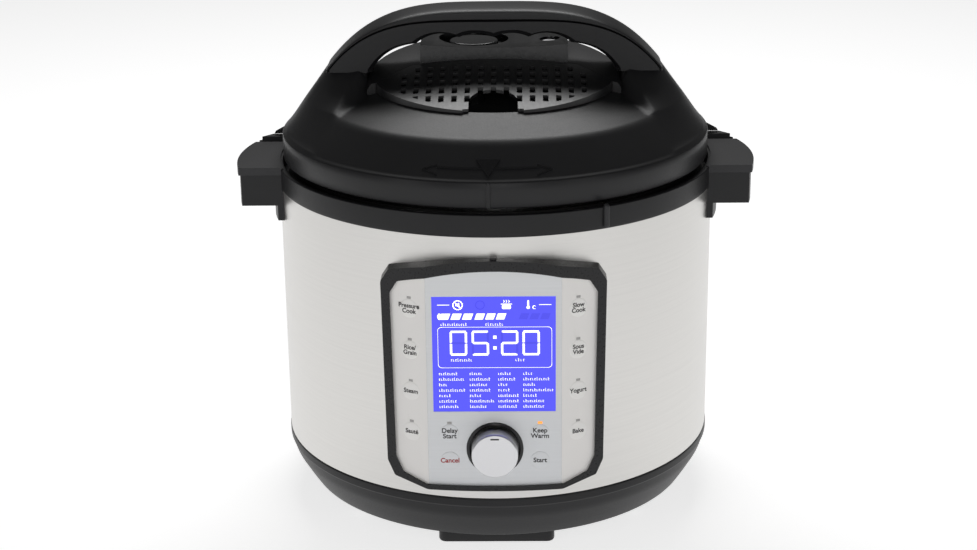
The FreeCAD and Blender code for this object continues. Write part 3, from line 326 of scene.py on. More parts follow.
def plastic(name, colour, rough, grain=900.0, depth=0.00006, spec=0.5, tone=0.18):
    """Moulded plastic: fine spark-eroded grain and slow tone change."""
    mat, tree, shader = material(name)
    slow = noise(tree, 14.0, 4.0)
    dark = tuple(c * (1 - tone) for c in colour)
    light = tuple(c * (1 + tone) for c in colour)
    tree.links.new(ramp(tree, slow, [(0.3, dark), (0.7, light)]), shader.inputs["Base Color"])
    fine = noise(tree, grain, 2.0, 0.6)
    tree.links.new(spread(tree, fine, rough - 0.06, rough + 0.06), shader.inputs["Roughness"])
    bump(tree, shader, fine, 0.35, depth)
    shader.inputs["Specular IOR Level"].default_value = spec
    return mat


def metal(name, colour, rough, stretch, scale=60.0, aniso=0.0, depth=0.00002, tone=0.08):
    """Brushed or turned metal: streaks in colour, roughness and height along one direction."""
    mat, tree, shader = material(name)
    streak = noise(tree, scale, 6.0, 0.7, stretch)
    dark = tuple(c * (1 - tone) for c in colour)
    light = tuple(min(1.0, c * (1 + tone)) for c in colour)
    tree.links.new(ramp(tree, streak, [(0.3, dark), (0.7, light)]), shader.inputs["Base Color"])
    tree.links.new(spread(tree, streak, rough * 0.8, rough * 1.25), shader.inputs["Roughness"])
    shader.inputs["Metallic"].default_value = 1.0
    shader.inputs["Anisotropic"].default_value = aniso
    bump(tree, shader, streak, 0.25, depth)
    return mat


def glow(name, colour, strength, base=(0.02, 0.02, 0.02)):
    mat, tree, shader = material(name)
    slow = noise(tree, 40.0, 2.0)
    dark = tuple(c * 0.97 for c in colour)
    tree.links.new(ramp(tree, slow, [(0.3, dark), (0.7, colour)]), shader.inputs["Emission Color"])
    shader.inputs["Emission Strength"].default_value = strength
    shader.inputs["Base Color"].default_value = (*base, 1)
    shader.inputs["Roughness"].default_value = 0.25
    return mat


M = {
    "lid": plastic("lid_plastic", (0.013, 0.013, 0.014), 0.40, 1100.0, 0.00004, spec=0.32, tone=0.12),
    "black": plastic("black_plastic", (0.012, 0.012, 0.013), 0.42, 1100.0, 0.00004, spec=0.32, tone=0.12),
    "smooth": plastic("black_smooth", (0.008, 0.008, 0.009), 0.20, 500.0, 0.00001, tone=0.12),
    "vent": plastic("diffuser_plastic", (0.012, 0.012, 0.013), 0.34, 900.0, 0.00002, tone=0.12),
    "grey": plastic("handle_top_plastic", (0.030, 0.030, 0.032), 0.45, 1100.0, 0.00005, spec=0.32, tone=0.12),
    "bezel": plastic("bezel_plastic", (0.012, 0.012, 0.013), 0.30, 700.0, 0.00001, spec=0.32, tone=0.10),
    "white": plastic("key_film", (0.90, 0.88, 0.855), 0.42, 600.0, 0.00001, tone=0.01),
    "pad": plastic("key_pad_film", (0.93, 0.915, 0.89), 0.36, 600.0, 0.00001, tone=0.01),
    "rubber": plastic("foot_rubber", (0.02, 0.02, 0.02), 0.8, 500.0, 0.0001),
    "silicone": plastic("seal_silicone", (0.62, 0.62, 0.60), 0.5, 200.0, 0.00003, tone=0.04),
    "board": plastic("solder_mask", (0.03, 0.17, 0.08), 0.35, 300.0, 0.00002),
    "lamp": plastic("lamp_lens", (0.42, 0.41, 0.40), 0.3, 500.0, 0.00001, tone=0.03),
    "steel": metal("brushed_steel", (0.70, 0.69, 0.67), 0.34, (1.0, 1.0, 60.0), 9.0, 0.0, 0.00001, tone=0.04),
    "pot": metal("pot_steel", (0.62, 0.62, 0.61), 0.24, (1.0, 1.0, 40.0), 10.0),
    "fascia": metal("fascia_metal", (0.68, 0.69, 0.70), 0.5, (1.0, 1.0, 70.0), 9.0, tone=0.05),
    "spun": metal("spun_metal", (0.72, 0.72, 0.73), 0.30, (1.0, 60.0, 1.0), 9.0, 0.75, tone=0.04),
    "cast": metal("cast_metal", (0.55, 0.55, 0.56), 0.4, (1.0, 1.0, 1.0), 200.0),
    "zinc": metal("plated_metal", (0.5, 0.5, 0.5), 0.35, (1.0, 1.0, 1.0), 300.0),
    # Locking ring steel painted near-black: painted shade, so the gap between the lid skirt and the collar
    # reads dark
    "gap_shade_steel": metal("ring_steel_painted_shade", (0.10, 0.10, 0.10), 0.4, (1.0, 1.0, 40.0), 10.0),
    "print": plastic("panel_print", (0.02, 0.02, 0.02), 0.5, 500.0, 0.00001),
    "print_red": plastic("panel_print_red", (0.42, 0.02, 0.02), 0.5, 500.0, 0.00001),
    "blue": glow("display_blue", (0.075, 0.075, 1.0), 1.0),
    "lit": glow("display_white", (1.0, 1.0, 1.0), 1.0, (0.9, 0.9, 0.9)),
    "ghost": glow("display_ghost", (0.055, 0.055, 0.86), 1.0),
    "amber": glow("lamp_amber", (1.0, 0.30, 0.04), 1.0, (0.8, 0.3, 0.05)),
}


# ---------------------------------------------------------------- round body
def steel_body():
    z0, z1, r = shell_lo[2], shell_hi[2], BODY_R
    w = STEEL_T
    obj = lathe("steel_body", [(r - w, z0, 0), (r, z0, 0), (r, z1, 0), (r - w, z1, 0)], 256)
    place(obj, "cooker", M["steel"], "brushed_steel", "steel_shell")


def base():
    z1 = base_hi[2]
    z0 = z1 - BASE_H
    r = base_hi[0]
    outer = [(r - 4 * MM, z1 - 0.2 * MM, 0), (r - 0.5 * MM, z1 - 0.2 * MM, 0.3 * MM),
             (r, z1 - 1.2 * MM, 0.5 * MM), (r, z1 - 5.4 * MM, 0.5 * MM),
             (r - 0.7 * MM, z1 - 6.2 * MM, 0.3 * MM), (r - 2.6 * MM, z1 - 13 * MM, 9 * MM),
             (r - 10.0 * MM, z1 - 25.4 * MM, 4 * MM), (r - 14.2 * MM, z0, 1.0 * MM),
             (r - 18 * MM, z0, 0), (r - 18 * MM, z0 + 3 * MM, 0),
             (r - 13 * MM, z1 - 24 * MM, 2 * MM), (r - 5 * MM, z1 - 12 * MM, 4 * MM)]
    obj = lathe("base_body", outer, 256)
    place(obj, "cooker", M["black"], "black_plastic", "base_housing")
    width, depth = foot_hi[0] - foot_lo[0], foot_hi[1] - foot_lo[1]
    centre = Vector((0, (foot_lo[1] + foot_hi[1]) / 2, 0))
    foot = rounded_foot("rounded_front_foot", width, depth, z0, centre, 5 * MM)
    place(foot, "cooker", M["black"], "black_plastic", "front_foot")


def rounded_foot(name, width, depth, height, centre, radius):
    """Low block with rounded plan corners and a softened lower edge."""
    rings = []
    for inset, z in ((1.4 * MM, 0.0), (0.5 * MM, 0.4 * MM), (0.0, 1.4 * MM), (0.0, height)):
        ring = []
        for sx, sy, a0 in ((1, 1, 0), (-1, 1, 90), (-1, -1, 180), (1, -1, 270)):
            cx = sx * (width / 2 - radius)
            cy = sy * (depth / 2 - radius)
            for k in range(7):
                a = math.radians(a0 + 15 * k)
                rr = radius - inset
                ring.append((centre.x + cx + rr * math.cos(a), centre.y + cy + rr * math.sin(a), z))
        rings.append(ring)
    return capped(name, rings)


def collar():
    z0, r = collar_lo[2], collar_hi[0]
    z1 = z0 + COLLAR_H
    lip = r - COLLAR_LIP
    obj = lathe("collar_body", [
        (r - 6 * MM, z0 + 0.1 * MM, 0), (r - 0.8 * MM, z0 + 0.1 * MM, 0),
        (r - 0.1 * MM, z0 + 0.5 * MM, 0.4 * MM), (r, z0 + 2 * MM, 0.3 * MM),
        (r, z1 - 0.3 * MM, 0.7 * MM), (r - 0.9 * MM, z1, 0.5 * MM),
        (lip + 0.2 * MM, z1, 0.4 * MM), (lip, z1 - 0.6 * MM, 0.2 * MM), (lip, z0 + 4.3 * MM, 0.3 * MM),
        (r - 20 * MM, z0 + 4.2 * MM, 0), (r - 20 * MM, z0 + 0.3 * MM, 0)], 256)
    place(obj, "cooker", M["black"], "black_plastic", "upper_collar")
    a = math.radians(MARK_DEG)
    cx, cy = (r + 0.5 * MM) * math.sin(a), -(r + 0.5 * MM) * math.cos(a)
    mark = lathe("open_mark", [(0, z0 + 1.5 * MM, 0), (1.7 * MM, z0 + 1.5 * MM, 0.3 * MM),
                 (2.0 * MM, z0 + 2.2 * MM, 0.3 * MM), (1.9 * MM, z1 + 0.6 * MM, 0.9 * MM),
                 (0.9 * MM, z1 + 1.9 * MM, 0.6 * MM), (0, z1 + 2.0 * MM, 0)], 24, closed=False)
    for v in mark.data.vertices:
        v.co.x += cx
        v.co.y += cy
    place(mark, "cooker", M["grey"], "black_plastic")


# ---------------------------------------------------------------- lid
def smooth_max(a, b, k):
    h = np.clip(0.5 + 0.5 * (a - b) / k, 0, 1)
    return b * (1 - h) + a * h + k * h * (1 - h)


def smooth_min(a, b, k):
    return -smooth_max(-a, -b, k)


def dome_height(r):
    """Height of the plain lid at radius r: steep wall, then the gently sloping top."""
    wall = CREASE_Z + (CREASE_R - r) * WALL_SLOPE
    top = CREASE_Z + (CREASE_R - r) * TOP_SLOPE
    surface = smooth_min(wall, top, 1.6 * MM)
    crown = CREASE_Z + (CREASE_R - DOME_R) * TOP_SLOPE + 1.4 * MM
    return smooth_min(surface, crown + 0 * r, 4 * MM)


def shoulder_height(x, y):
    """Height of the raised shoulders that carry the handle's ends."""
    t = np.linspace(0.067, 1.0, 16)
    half = GRIP_DEPTH / 2 + 1 * MM
    z_levels = np.concatenate([[SHOULDER_Z + 1.0 * MM], CREASE_Z + (SEAM_Z - CREASE_Z) * t])
    a_levels = np.concatenate([[LID_R - 2.2 * MM], CREASE_R + (9.7 - 16.3 * t) * MM])
    b_levels = np.concatenate([[half + 99 * MM], half + 76 * MM * (1 - t) ** 1.15])
    lo = np.full_like(x, z_levels[0])
    hi = np.full_like(x, z_levels[-1])
    for _ in range(20):
        mid = (lo + hi) / 2
        a = np.interp(mid, z_levels, a_levels)
        b = np.interp(mid, z_levels, b_levels)
        lift = np.clip((mid - CREASE_Z) / (SEAM_Z - CREASE_Z), 0, 1)
        power = 2.0 + 2.0 * lift ** 4
        inside = (np.abs(x) / a) ** power + (np.abs(y - GRIP_Y * lift) / b) ** power < 1
        lo = np.where(inside, mid, lo)
        hi = np.where(inside, hi, mid)
    return lo


def lid_height(x, y):
    """Height of the whole lid: dome, shoulders at both sides, and the diffuser's pocket."""
    r = np.hypot(x, y)
    plain = dome_height(r)
    raised = shoulder_height(x, y)
    side = OPENING_W + 0.55 * np.clip(np.abs(y - GRIP_Y) - 19 * MM, 0, None)
    t = np.clip((np.abs(x) - side + 3.0 * MM) / (12 * MM), 0, 1)
    mask = t * t * (3 - 2 * t)
    both = smooth_max(raised, plain, 4.0 * MM)
    height = plain + (both - plain) * mask
    # The pocket under the diffuser: an arc in front, slanting sides and a straight rear edge.
    front = 75.6 * MM - np.hypot(x, y + 4.8 * MM)
    rear = -12.5 * MM - y
    slant = (72 * MM - np.abs(x)) * 0.70 + (LENS_TIP_Y - y) * 0.72
    inside = np.minimum(front, np.minimum(np.maximum(rear, slant), 60 * MM))
    inside = np.minimum(inside, np.maximum(-10 * MM - y, 0))
    sink = np.clip(inside / (1.6 * MM), 0, 1)
    return height - 13 * MM * sink


def lid_shell():
    """Skirt, steep wall and top as rings about the axis, given a wall."""
    segments = 384
    radii = [134.6, 133.8, 133.0] + list(np.linspace(132.0, 118.0, 15)) + list(np.linspace(117.4, 106.0, 20))
    radii += list(np.linspace(105.2, 72.0, 42)) + list(np.linspace(70.5, 3.0, 40))
    radii = np.array(radii) * MM
    angles = np.linspace(0, 2 * np.pi, segments, endpoint=False)
    skirt = [(LID_R - 2.6 * MM, SKIRT_Z + 3 * MM), (LID_R - 2.4 * MM, SKIRT_Z + 0.4 * MM),
             (LID_R - 1.6 * MM, SKIRT_Z), (LID_R - 0.5 * MM, SKIRT_Z + 0.15 * MM),
             (LID_R, SKIRT_Z + 0.9 * MM), (LID_R, SHOULDER_Z - 5 * MM),
             (LID_R - 0.05 * MM, SHOULDER_Z - 0.6 * MM), (LID_R - 0.45 * MM, SHOULDER_Z - 0.1 * MM),
             (LID_R - 0.75 * MM, SHOULDER_Z + 0.1 * MM), (LID_R - 1.3 * MM, SHOULDER_Z + 0.5 * MM)]
    rows = []
    for r, z in skirt:
        rows.append([(r * math.sin(a), -r * math.cos(a), z) for a in angles])
    for r in radii:
        x, y = r * np.sin(angles), -r * np.cos(angles)
        rows.append(list(zip(x, y, lid_height(x, y))))
    verts = [v for row in rows for v in row]
    faces = grid_faces(len(rows), segments, wrap=True)
    faces.append(tuple(range((len(rows) - 1) * segments, len(rows) * segments)))
    obj = new_object("lid_body", verts, faces, 50.0)
    solid = obj.modifiers.new("wall", "SOLIDIFY")
    solid.thickness = 2.4 * MM
    solid.offset = -1
    place(obj, "lid", M["lid"], "black_plastic", "lid_shell")


def lid_middle():
    """Raised middle of the lid behind the diffuser, part of the same large sphere."""
    ball_r, ball_y = 380 * MM, 34 * MM
    tip_x, tip_y = diffuser_hi[0], LENS_TIP_Y
    back_x, back_y = 53 * MM, diffuser_hi[1]
    lens_z = CREASE_Z + (CREASE_R - DOME_R) * TOP_SLOPE + 9.2 * MM
    cone_y, cone_r = -6.17 * MM, 84.17 * MM
    cone_z = CREASE_Z + (CREASE_R - 78 * MM) * TOP_SLOPE
    cols, rows = 201, 90
    width = OPENING_W + 3 * MM
    top, low = [], []
    for i in range(cols):
        x = width * (2 * i / (cols - 1) - 1)
        share = min(max((abs(x) - back_x) / (tip_x - back_x), 0), 1)
        y0 = back_y + (tip_y - back_y) * share + 0.3 * MM
        y1 = cone_y + math.sqrt((cone_r + 1.5 * MM) ** 2 - x ** 2)
        for j in range(rows):
            y = y0 + (y1 - y0) * j / (rows - 1)
            ball = lens_z - ball_r + math.sqrt(ball_r ** 2 - x ** 2 - (y - ball_y) ** 2)
            cone = cone_z + (cone_r - math.hypot(x, y - cone_y)) * math.tan(math.radians(60))
            z = float(smooth_min(np.array(ball), np.array(cone), 1.5 * MM))
            top.append((x, y, z))
            low.append((x, y, CREASE_Z - 2 * MM))
    verts = top + low
    n = cols * rows
    faces = grid_faces(cols, rows)
    faces += [tuple(n + k for k in face) for face in grid_faces(cols, rows)]
    edge = [i * rows for i in range(cols)] + [(cols - 1) * rows + j for j in range(1, rows)]
    edge += [i * rows + rows - 1 for i in range(cols - 2, -1, -1)] + list(range(rows - 2, 0, -1))
    for a, b in zip(edge, edge[1:] + edge[:1]):
        faces.append((a, b, n + b, n + a))
    obj = new_object("lid_middle", verts, faces, 40.0)
    bevel(obj, 0.5 * MM, 2, 40)
    place(obj, "lid", M["lid"], "black_plastic")


def on_wall(across, z, out):
    """Point on the lid's steep front wall, at a distance around it, a height, and a little off it."""
    r = CREASE_R + (CREASE_Z - z) / WALL_SLOPE
    a = across / r
    tilt = math.atan(1 / WALL_SLOPE)
    r += out * math.cos(tilt)
    return (r * math.sin(a), -r * math.cos(a), z + out * math.sin(tilt))


def wall_strip(name, path, width, height=0.25):
    """Thin raised band on the front wall, along (across, below the ridge) points in millimetres."""
    verts = []
    for i, (u, z) in enumerate(path):
        before, after = path[max(i - 1, 0)], path[min(i + 1, len(path) - 1)]
        run = Vector((after[0] - before[0], after[1] - before[1])).normalized()
        side = Vector((-run.y, run.x)) * width / 2
        for sign, out in ((1, -0.4), (1, height), (-1, height), (-1, -0.4)):
            down = z - sign * side.y
            verts.append(on_wall((u + sign * side.x) * MM, CREASE_Z - down * MM, out * MM))
    rows = [verts[k:k + 4] for k in range(0, len(verts), 4)]
    place(capped(name, rows), "lid", M["smooth"], "black_plastic")


def lid_marks():
    """Turning marks on the front wall: a double-headed arrow, a triangle, and the skirt's rib."""
    line = [(-33 + 61 * i / 30, 12.4) for i in range(31)]
    wall_strip("arrow_line", line, 0.8)
    for name, tip, sign in (("left_head", -42.0, 1), ("right_head", 35.5, -1)):
        for k, drop in enumerate((2.2, -2.2)):
            path = [(tip, 13.6), (tip + sign * 9.0, 13.6 - drop)]
            wall_strip("%s_%d" % (name, k), path, 0.7)
    corners = ((-9.8, 8.4), (4.6, 8.4), (-2.6, 16.5))
    verts = []
    for out in (0.5, -0.6):
        verts += [on_wall(u * MM, CREASE_Z - z * MM, out * MM) for u, z in corners]
    faces = [(0, 1, 2), (5, 4, 3), (0, 1, 4, 3), (1, 2, 5, 4), (2, 0, 3, 5)]
    place(new_object("triangle_mark", verts, faces), "lid", M["smooth"], "black_plastic")
    outline = round_outline(-3.8, -1.4, 0.6, 15.4, 1.0)
    rib = prism("skirt_rib", outline, -(LID_R + 0.9 * MM), -(LID_R - 1.2 * MM))
    for v in rib.data.vertices:
        v.co.x *= MM
        v.co.z = SKIRT_Z + v.co.z * MM
    place(bevel(rib, 0.3 * MM, 2), "lid", M["lid"], "black_plastic")


# ---------------------------------------------------------------- lid handle
def arch_curve(width, height, power, count):
    """Evenly stepped points along a squarish arch; both feet run a little way into the shoulders."""
    a = np.linspace(-1, 1, 2401) * math.pi / 2
    xs = width * np.sin(a)
    zs = SEAM_Z + height * (1 - np.abs(np.sin(a)) ** power)
    d = np.concatenate([[0], np.cumsum(np.hypot(np.diff(xs), np.diff(zs)))])
    even = np.linspace(0, d[-1], count)
    line = np.stack([np.interp(even, d, xs), np.interp(even, d, zs)], 1)
    sink = np.array([[0, -1.6 * MM]])
    return np.concatenate([line[:1] + sink, line, line[-1:] + sink])


def arch_section(p, q, depth_top, depth_low, crown, edge):
    """Section between two arch points: crowned top, rounded shoulders and straight sides."""
    high = max(np.hypot(*(p - q)), 1e-9)
    up = (p - q) / high
    drop = min(crown, 0.6 * high)
    corner = min(edge, 0.3 * high)
    squareness = 0.55
    steps = 12
    section = []
    for k in range(steps + 1):
        a = math.pi * k / steps
        y = -math.cos(a)
        y = math.copysign(abs(y) ** squareness, y)
        lift = (math.sin(a) ** squareness)
        section.append((y * depth_top, -drop * (1 - lift)))
    section.append((depth_low, -high + corner))
    section.append((depth_low - corner, -high))
    section.append((-depth_low + corner, -high))
    section.append((-depth_low, -high + corner))
    return [(p[0] + up[0] * dz, GRIP_Y + y, p[1] + up[1] * dz) for y, dz in section]


def arch_body(name, top, low, *shape):
    rows = [arch_section(p, q, *shape) for p, q in zip(top, low)]
    return capped(name, rows, 40.0)


def handle_pieces():
    count = 221
    outer = arch_curve(cover_hi[0], cover_hi[2] - SEAM_Z, 3.5, count)
    seam = arch_curve(grip_hi[0], grip_hi[2] - SEAM_Z, 4.2, count)
    under = arch_curve(OPENING_W, OPENING_H, 7.0, count)
    half = GRIP_DEPTH / 2
    scallop = 0
    for i in range(SCALLOPS):
        x = under[:, 0] - (i - (SCALLOPS - 1) / 2) * SCALLOP_PITCH * MM
        rise = np.sqrt(np.clip(SCALLOP_R ** 2 - (x / MM) ** 2, 0, None)) - SCALLOP_R + SCALLOP_DEPTH
        scallop = np.maximum(scallop, rise * MM * (np.abs(x) < 16 * MM))
    above = arch_curve(grip_hi[0] + 0.1 * MM, grip_hi[2] - SEAM_Z + 0.6 * MM, 4.2, count)
    cover = arch_body("handle_top", outer, above, half, half, 5.0 * MM, 0.5 * MM)
    place(cover, "lid", M["lid"], "black_plastic", "handle_cover")
    under[:, 1] += scallop
    half -= 0.5 * MM
    grip = arch_body("handle_lower", seam, under, half, half, 0.8 * MM, 3.0 * MM)
    place(grip, "lid", M["black"], "black_plastic", "handle_grip")


# ---------------------------------------------------------------- CAD pieces that keep their shape
def soften_pieces():
    """Copies of CAD pieces with edges rounded by so many millimetres."""
    corners = {"panel_bezel": 3.6 * MM, "left_key_strip": 3.0 * MM, "right_key_strip": 3.0 * MM}
    for name, width, mat, slot in (
            ("valve_housing", 1.0, "smooth", "black_smooth"),
            ("release_button", 0.8, "smooth", "black_smooth"),
            ("steam_diffuser", 0.35, "vent", "black_smooth"),
            ("right_handle", 1.4, "black", "black_plastic"),
            ("left_handle", 1.4, "black", "black_plastic"),
            ("right_handle_cap", 1.2, "grey", "grey_black_plastic"),
            ("left_handle_cap", 1.2, "grey", "grey_black_plastic"),
            ("panel_bezel", 0.8, "bezel", "black_smooth"),
            ("panel_fascia", 0.15, "fascia", "silver_fascia"),
            ("left_key_strip", 0.2, "white", "white_strip"),
            ("right_key_strip", 0.2, "white", "white_strip"),
            ("knob_ring", 0.5, "smooth", "black_smooth"),
            ("lid_fins", 0.5, "black", "black_plastic")):
        soften(name, width * MM, M[mat], slot, 3, corner=corners.get(name, 0.0))


def dress_nodes():
    """Materials for the CAD pieces that are shown as they are."""
    kinds = {"pot": ("inner_pot", "lid_liner", "heating_chamber", "anti_block_shield"),
             # the locking ring takes the near-black steel, painted shade for the gap under the lid
             "gap_shade_steel": ("locking_ring",), "black": ("base_cover", "cup_bracket"),
             "rubber": ("rubber_feet",), "board": ("power_board", "control_board"),
             "smooth": ("power_inlet", "condensation_cup", "lcd_module", "steam_valve"),
             "zinc": ("base_screws", "handle_screws", "sensor_spring", "ring_rack", "encoder"),
             "cast": ("heating_plate", "temperature_sensor", "float_valve"),
             "silicone": ("sealing_ring", "float_seal"),
             "lamp": ("indicator_lamps",), "amber": ("keep_warm_lamp",), "blue": ("lcd_window",)}
    for kind, names in kinds.items():
        for name in names:
            obj = frame["nodes"][name]
            obj.data.materials.clear()
            obj.data.materials.append(M[kind])
    for name, obj in frame["nodes"].items():
        if "_key" in name and "strip" not in name:
            side = name.startswith(("left", "right"))
            obj.data.materials.clear()
            obj.data.materials.append(M["pad" if side else "fascia"])


def knob():
    y = knob_lo[1]
    r = knob_hi[0]
    back = FASCIA_Y + 3.0 * MM
    outline = [(0, y + 0.25 * MM, 0), (r - 1.2 * MM, y + 0.05 * MM, 0.3 * MM),
               (r - 0.7 * MM, y, 0.2 * MM), (r - 0.1 * MM, y + 0.5 * MM, 0.4 * MM),
               (r, y + 1.4 * MM, 0.3 * MM), (r, back, 0.3 * MM), (r - 1.5 * MM, back, 0), (0, back, 0)]
    obj = lathe("knob_body", outline, 128, axis=(0, KNOB_Z), closed=False)
    place(obj, "knob", M["spun"], "knob_metal", "selector_knob")


# ---------------------------------------------------------------- display and printed labels
class Marks:
    """Flat marks gathered into one thin piece, in millimetres from the middle of a face."""

    def __init__(self, name, material_name, body, slot):
        self.name, self.material, self.body, self.slot = name, material_name, body, slot
        self.verts, self.faces = [], []

    def shape(self, outline, centre=None, right=None, lift=0.06):
        centre = centre or Vector((0, lcd_lo[1], LCD_Z))
        right = right or Vector((1, 0, 0))
        out = Vector((right.y, -right.x, 0))
        start, n = len(self.verts), len(outline)
        for depth in (lift, -0.05):
            for x, z in outline:
                self.verts.append(centre + right * x * MM + Vector((0, 0, z * MM)) + out * depth * MM)
        self.faces.append(tuple(range(start, start + n)))
        self.faces.append(tuple(range(start + 2 * n - 1, start + n - 1, -1)))
        for i in range(n):
            k = (i + 1) % n
            self.faces.append((start + i, start + k, start + n + k, start + n + i))

    def bar(self, x0, x1, z0, z1, slant=0.0):
        self.shape([(x0, z0), (x1, z0), (x1 + slant, z1), (x0 + slant, z1)])

    def line(self, points, width):
        for (xa, za), (xb, zb) in zip(points, points[1:]):
            run = Vector((xb - xa, zb - za)).normalized()
            side = Vector((-run.y, run.x)) * width / 2
            a, b = Vector((xa, za)) - run * width * 0.3, Vector((xb, zb)) + run * width * 0.3
            self.shape([a + side, b + side, b - side, a - side])

    def finish(self):
        obj = new_object(self.name, self.verts, self.faces)
        return place(obj, self.body, M[self.material], self.slot)


SEGMENTS = {"0": "abcdef", "5": "afgcd", "2": "abged"}


def digit(lit, dim, value, x, z, w, h):
    """One seven-segment figure, its lit segments bright and the others faint."""
    t, s = 1.35, 0.9
    left, right, middle = x + 0.6, x + w - 0.6, z + h / 2
    places = {"a": (left, right, z + h - t, z + h), "g": (left, right, middle - t / 2, middle + t / 2),
              "d": (left, right, z, z + t), "f": (x, x + t, middle + 0.3, z + h - s),
              "b": (x + w - t, x + w, middle + 0.3, z + h - s), "e": (x, x + t, z + s, middle - 0.3),
              "c": (x + w - t, x + w, z + s, middle - 0.3)}
    for key, (x0, x1, z0, z1) in places.items():
        (lit if key in SEGMENTS[value] else dim).bar(x0, x1, z0, z1)


def circle(x, z, radius):
    """Points of a closed ring."""
    turns = [math.radians(a) for a in range(0, 361, 20)]
    return [(x + radius * math.cos(a), z + radius * math.sin(a)) for a in turns]


def display():
    """Clock, icons, progress bars and rows of small words, lit and faint."""
    lit = Marks("display_marks", "lit", "cooker", "display")
    dim = Marks("display_faint_marks", "ghost", "cooker", "display")
    for value, x in (("0", -26.2), ("5", -13.2), ("2", 4.2), ("0", 17.0)):
        digit(lit, dim, value, x, -0.6, 10.3, 15.8)
    lit.bar(-0.4, 1.6, 3.2, 5.2)
    lit.bar(-0.4, 1.6, 10.0, 12.0)
    for x0 in (-33.3, 26.9):
        lit.bar(x0, x0 + 7.2, 31.2, 31.6)
    lit.line(circle(-21.2, 31.3, 2.8), 0.5)
    lit.line([(-23.1, 33.2), (-19.3, 29.4)], 0.5)
    lit.shape([(-22.6, 30.7), (-21.6, 30.7), (-20.2, 29.6), (-20.2, 33.0), (-21.6, 31.9), (-22.6, 31.9)])
    dim.line(circle(-8.0, 31.3, 2.6), 0.5)
    lit.shape(round_outline(4.9, 10.3, 28.7, 31.4, 0.9))
    lit.bar(4.3, 10.9, 31.6, 32.1)
    for x in (5.9, 7.4, 8.9):
        lit.line([(x, 32.7), (x + 0.5, 33.5), (x, 34.3)], 0.35)
    lit.shape(round_outline(19.9, 21.0, 29.8, 34.2, 0.5))
    lit.shape(round_outline(19.4, 21.5, 28.7, 30.7, 1.0))
    lit.line([(24.8, 30.4), (24.1, 30.8), (23.3, 30.4), (23.2, 29.5), (23.5, 28.9), (24.7, 28.9)], 0.35)
    for i in range(3):
        lit.bar(-32.4 + 6.8 * i, -27.0 + 6.8 * i, 22.2, 26.0, 1.4)
        lit.bar(-11.4 + 6.3 * i, -6.4 + 6.3 * i, 22.2, 26.0, 1.4)
        dim.bar(14.8 + 6.3 * i, 19.8 + 6.3 * i, 22.2, 26.0, 1.4)
    lit.shape(round_outline(-33.4, -31.0, 22.2, 26.0, 1.8))
    frame_line = round_outline(-33.3, 34.4, -8.4, 17.4, 2.2)
    lit.line(frame_line + frame_line[:1], 0.22)
    for x, z, w in ((-31.4, 19.2, 16.0), (-4.8, 19.2, 11.0), (-25.6, -3.4, 13.0), (12.8, -3.4, 6.0)):
        small_words(lit, x, z, w)
    lengths = ((11.4, 7.8, 8.0, 6.0), (15.5, 12.6, 10.6, 16.0), (5.2, 10.8, 6.0, 7.6),
               (16.0, 12.6, 7.4, 18.4), (7.4, 7.2, 12.6, 8.6), (10.8, 15.0, 12.6, 12.8),
               (12.0, 10.2, 11.6, 12.8))
    for row, widths in enumerate(lengths):
        for x, w in zip((-33.0, -14.6, 2.4, 17.4), widths):
            small_words(lit, x, -12.2 - 3.53 * row, w)
    lit.finish()
    dim.finish()


def small_words(marks, x, z, width):
    """A short word too small to read: a row of plain upright strokes with a rail above and below."""
    count = max(int(width / 1.25), 2)
    for i in range(count):
        x0 = x + width * i / count
        tall = 1.0 if (i * 7 + int(width * 3)) % 5 else 1.5
        marks.bar(x0, x0 + 0.26, z - 0.85, z - 0.85 + 1.25 * tall)
        marks.bar(x0 + 0.2, x0 + 0.7, z - 0.85, z - 0.65)
        if (i + int(width)) % 2:
            marks.bar(x0 + 0.2, x0 + 0.8, z + 0.15, z + 0.4)


def label(name, text, size, centre, right, material_name):
    """Printed words, facing out from a face whose rightward direction is given."""
    curve = bpy.data.curves.new(name, "FONT")
    curve.body = text
    curve.align_x = "CENTER"
    curve.align_y = "CENTER"
    curve.size = size
    curve.space_line = 0.86
    curve.extrude = 0.04 * MM
    curve.offset = 0.09 * MM
    holder = bpy.data.objects.new(name + "_text", curve)
    scene.collection.objects.link(holder)
    mesh = bpy.data.meshes.new_from_object(holder)
    bpy.data.objects.remove(holder)
    out = Vector((right.y, -right.x, 0))
    for v in mesh.vertices:
        v.co = centre + right * v.co.x + Vector((0, 0, v.co.y)) + out * v.co.z
    obj = bpy.data.objects.new(name, mesh)
    scene.collection.objects.link(obj)
    return place(obj, "cooker", M[material_name], "black_smooth")


def key_pad(node_name, face, right, material_name, slot):
    """Round key top, a little larger than the hole so that only a fine line shows around it."""
    out = Vector((right.y, -right.x, 0))
    count = 48
    rows = []
    for radius, lift in ((5.75, -0.4), (5.75, 0.04), (5.55, 0.14), (5.2, 0.17)):
        row = []
        for k in range(count):
            a = 2 * math.pi * k / count
            rise = Vector((0, 0, radius * math.sin(a) * MM))
            row.append(face + right * radius * math.cos(a) * MM + rise + out * lift * MM)
        rows.append(row)
    obj = capped(node_name + "_top", rows, 60.0)
    place(obj, frame["nodes"][node_name]["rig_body"], M[material_name], slot, node_name)


